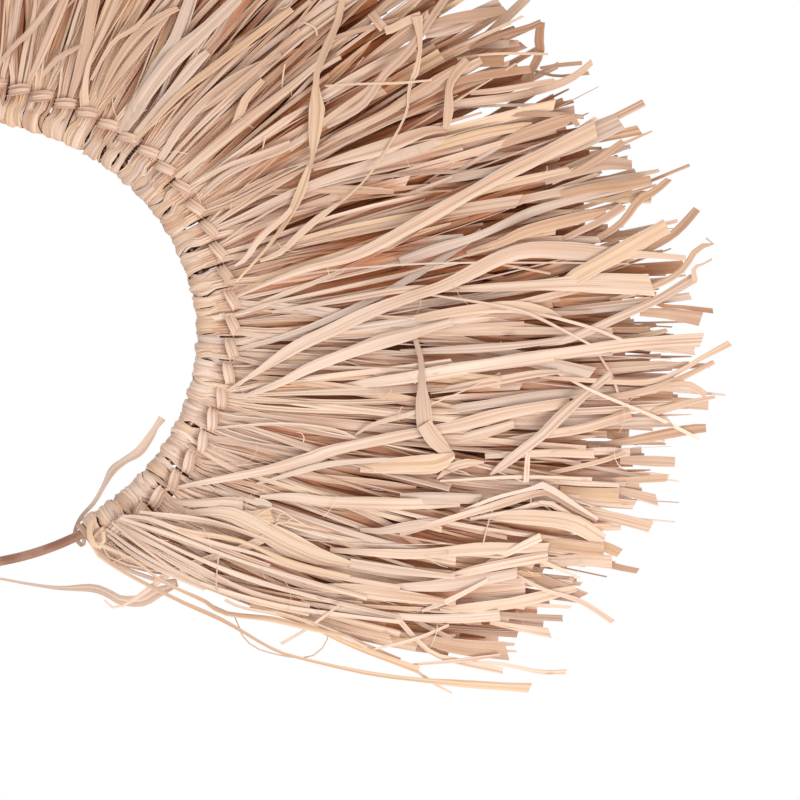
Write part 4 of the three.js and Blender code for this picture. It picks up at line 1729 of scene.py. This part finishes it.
@dataclass
class FineHairs:
    """Fine curled fibres that stand off the front of the fringe."""

    lie: FringeLie
    count: int = 170
    stations: int = 9
    length: Span = (3.0, 12.0)
    half_width: Span = (0.09, 0.2)
    thickness: float = 0.14
    bend: float = 0.16
    lift: Span = (0.2, 3.0)
    seed: int = 77
    first_cell: int = 99000
    name: str = "fine_hairs"

    def lay(self, surface: FringeSurface) -> StripMesh:
        """Lays the fibres.

        Args:
            surface: The fringe's surface.

        Returns:
            The strips, not yet a piece.
        """
        rng, each = np.random.default_rng(self.seed), (self.count, 1)
        place = rng.uniform(0.01, 0.99, self.count)
        start = self.lie.at(place, rng.uniform(0.06, 0.93, self.count) * self.lie.length(place))
        step = rng.uniform(*self.length, each) / (self.stations - 1)
        turn = rng.normal(0.0, self.bend, each) * np.arange(self.stations)
        heading = rng.uniform(0.0, 2.0 * math.pi, each) + turn
        toward = np.stack([np.cos(heading), np.sin(heading)], -1)
        points = in_space(start[:, None] + np.cumsum(step[..., None] * toward, axis=1))
        lift = rng.uniform(*self.lift, each) * np.sin(np.linspace(0.0, 2.6, self.stations))
        points[..., 1] = -np.stack([surface.rest(line) for line in points]) - lift
        taper = 1.0 - 0.6 * np.linspace(0.0, 1.0, self.stations)
        half_width = rng.uniform(*self.half_width, each) * taper
        level = np.zeros((self.count, self.stations))
        heights = np.zeros((self.count, self.stations, 2))
        look = (np.zeros(self.count), rng.uniform(0.6, 1.0, self.count), np.zeros(self.count))
        mesh = StripMesh(surface, self.first_cell)
        strips = Strips(points, in_space(turned(toward)), half_width, level, level, heights, *look, self.thickness)
        mesh.add(strips)
        return mesh


@dataclass
class WireHoop:
    """The bent wire, one smooth tube round the oval."""

    hoop: HoopLine
    name: str = "wire_hoop"
    sides: int = 20
    steps: int = 180
    merged_within: float = 0.001

    def build(self, material: bpy.types.Material) -> None:
        """Makes the hoop's piece, which stands for the CAD hoop.

        Args:
            material: Its finish.
        """
        mean = (self.hoop.half_width + self.hoop.half_height) / 2
        ring = bmesh.new()
        made = bmesh.ops.create_circle(ring, segments=self.sides, radius=self.hoop.wire_radius)
        bmesh.ops.translate(ring, verts=made["verts"], vec=(mean, 0.0, 0.0))
        bmesh.ops.spin(
            ring, geom=ring.verts[:] + ring.edges[:], cent=(0, 0, 0), axis=(0, 1, 0), dvec=(0, 0, 0),
            angle=2 * math.pi, steps=self.steps, use_merge=True, use_duplicate=False,
        )
        bmesh.ops.remove_doubles(ring, verts=ring.verts[:], dist=self.merged_within)
        place = np.array([vertex.co for vertex in ring.verts])
        point, outward = self.hoop.around(np.arctan2(place[:, 2], place[:, 0]))
        proud = np.hypot(place[:, 0], place[:, 2]) - mean
        for vertex, bent in zip(ring.verts, in_space(point + outward * proud[:, None], place[:, 1]) * MM):
            vertex.co = bent
        bmesh.ops.recalc_face_normals(ring, faces=ring.faces[:])
        for face in ring.faces:
            face.smooth = True
        mesh = bpy.data.meshes.new(self.name + "_round")
        ring.to_mesh(mesh)
        ring.free()
        add_piece(mesh.name, mesh, material, (self.name,))


# Studio


@dataclass
class Studio:
    """Pale floor, soft light and the photograph's camera."""

    photograph: Photograph
    floor_place: Triple = (0.0, -0.3, -1.1)
    floor_size: float = 2.4
    surround_light: float = 0.87
    key_power: float = 6.9
    key_colour: Triple = (1.0, 0.97, 0.94)
    key_place: Triple = (0.8, -0.8, -0.6)
    key_aim: Triple = (0.1, 0.0, -0.1)
    key_size: float = 0.6
    sensor: float = 36.0
    clip: Span = (0.05, 50.0)

    def build(self) -> None:
        """Makes the floor, the light and the camera."""
        self._floor()
        self._light()
        self._camera()
        bpy.context.scene.view_settings.view_transform = "Standard"
        LOG.info("studio ready")

    def _floor(self) -> None:
        """Lays the floor well below the hanging."""
        slab = bmesh.new()
        bmesh.ops.create_grid(slab, x_segments=1, y_segments=1, size=self.floor_size)
        bmesh.ops.translate(slab, verts=slab.verts[:], vec=self.floor_place)
        mesh = bpy.data.meshes.new("floor")
        slab.to_mesh(mesh)
        slab.free()
        mesh.materials.append(FloorFinish("pale_floor").material())
        add_object("floor", mesh)

    def _light(self) -> None:
        """Sets the white surround and the soft key light."""
        shade = Shade(bpy.data.worlds.new("white_surround"))
        seen = shade.node("ShaderNodeLightPath", {}, {}, "Is Camera Ray")
        level = shade.node("ShaderNodeMapRange", {}, {"Value": seen, "To Min": self.surround_light, "To Max": 1.0})
        surround = shade.node("ShaderNodeBackground", {}, {"Color": grey(1.0), "Strength": level})
        shade.node("ShaderNodeOutputWorld", {}, {"Surface": surround})
        bpy.context.scene.world = shade.owner
        lamp = bpy.data.lights.new("key", "AREA")
        lamp.energy = self.key_power
        lamp.shape = "DISK"
        lamp.size = self.key_size
        lamp.color = self.key_colour
        key = add_object("key", lamp)
        key.location = self.key_place
        toward = Vector(self.key_aim) - key.location
        key.rotation_euler = toward.to_track_quat("-Z", "Y").to_euler()

    def _camera(self) -> None:
        """Puts the camera where the photograph was taken from."""
        lens = bpy.data.cameras.new("photograph")
        seen = self.photograph
        lens.sensor_width = self.sensor
        lens.lens = self.sensor * seen.distance * seen.pixels_per_mm / seen.side
        lens.clip_start, lens.clip_end = self.clip
        camera = add_object("photograph", lens)
        camera.location = (seen.aim_x * MM, -seen.distance * MM, seen.aim_z * MM)
        camera.rotation_euler = (math.pi / 2, 0.0, 0.0)
        bpy.context.scene.camera = camera


# Loose ends of the twining strands: x and y, z above the hoop's middle, and half the width, all in mm
CURLED_END = (
    (52.6, 3.6, -84.3, 0.9), (49.4, 4.6, -80.0, 0.9), (51.6, 3.6, -73.4, 0.8), (57.6, 1.5, -66.6, 0.9),
    (61.6, 0.0, -60.0, 1.1), (65.0, -1.0, -54.0, 1.8), (70.0, -1.5, -50.0, 1.5), (76.0, -2.0, -46.2, 2.0),
    (80.6, -2.5, -40.0, 1.7), (82.6, -2.8, -36.6, 1.2), (85.2, -2.5, -33.0, 1.7),
)
TRAILING_END = (
    (59.2, 1.8, -86.5, 1.0), (70.0, 3.0, -93.5, 0.9), (84.0, 4.0, -98.5, 0.9), (91.0, 4.5, -98.6, 1.2),
    (88.0, 4.5, -101.0, 1.4), (82.8, 4.4, -103.0, 2.4), (76.4, 4.0, -106.4, 2.8), (67.8, 4.0, -106.2, 2.1),
    (62.4, 3.5, -103.2, 1.8), (56.0, 3.0, -101.2, 1.7), (44.0, 2.0, -101.2, 0.9), (32.0, 1.5, -99.6, 0.6),
    (19.0, 1.0, -97.2, 0.5),
)


def main() -> None:
    """Builds the hanging piece by piece, then its studio."""
    logging.basicConfig(level=logging.INFO, format="%(message)s")
    photograph = Photograph()
    hoop = HoopLine()
    lie = FringeLie(hoop)
    raffia = RaffiaFinish("raffia_leaf").material()
    surface = FringeSurface(hoop)
    WireHoop(hoop).build(CopperFinish("browned_copper").material())
    bundles = [Bundle(lie, index) for index in range(lie.bundles)]
    strands = [TwiningStrand(lie, 1, math.pi, CURLED_END), TwiningStrand(lie, 2, 0.0, TRAILING_END)]
    laid = [(part, part.lay(surface)) for part in (*bundles, *strands)]
    surface.settle()
    for part, mesh in laid:
        mesh.finish(part.name + "_dressed", raffia, part.name)
    for part in (FrontRibbons(photograph), FineHairs(lie)):
        part.lay(surface).finish(part.name, raffia)
    Studio(photograph).build()


if __name__ == "__main__":
    main()
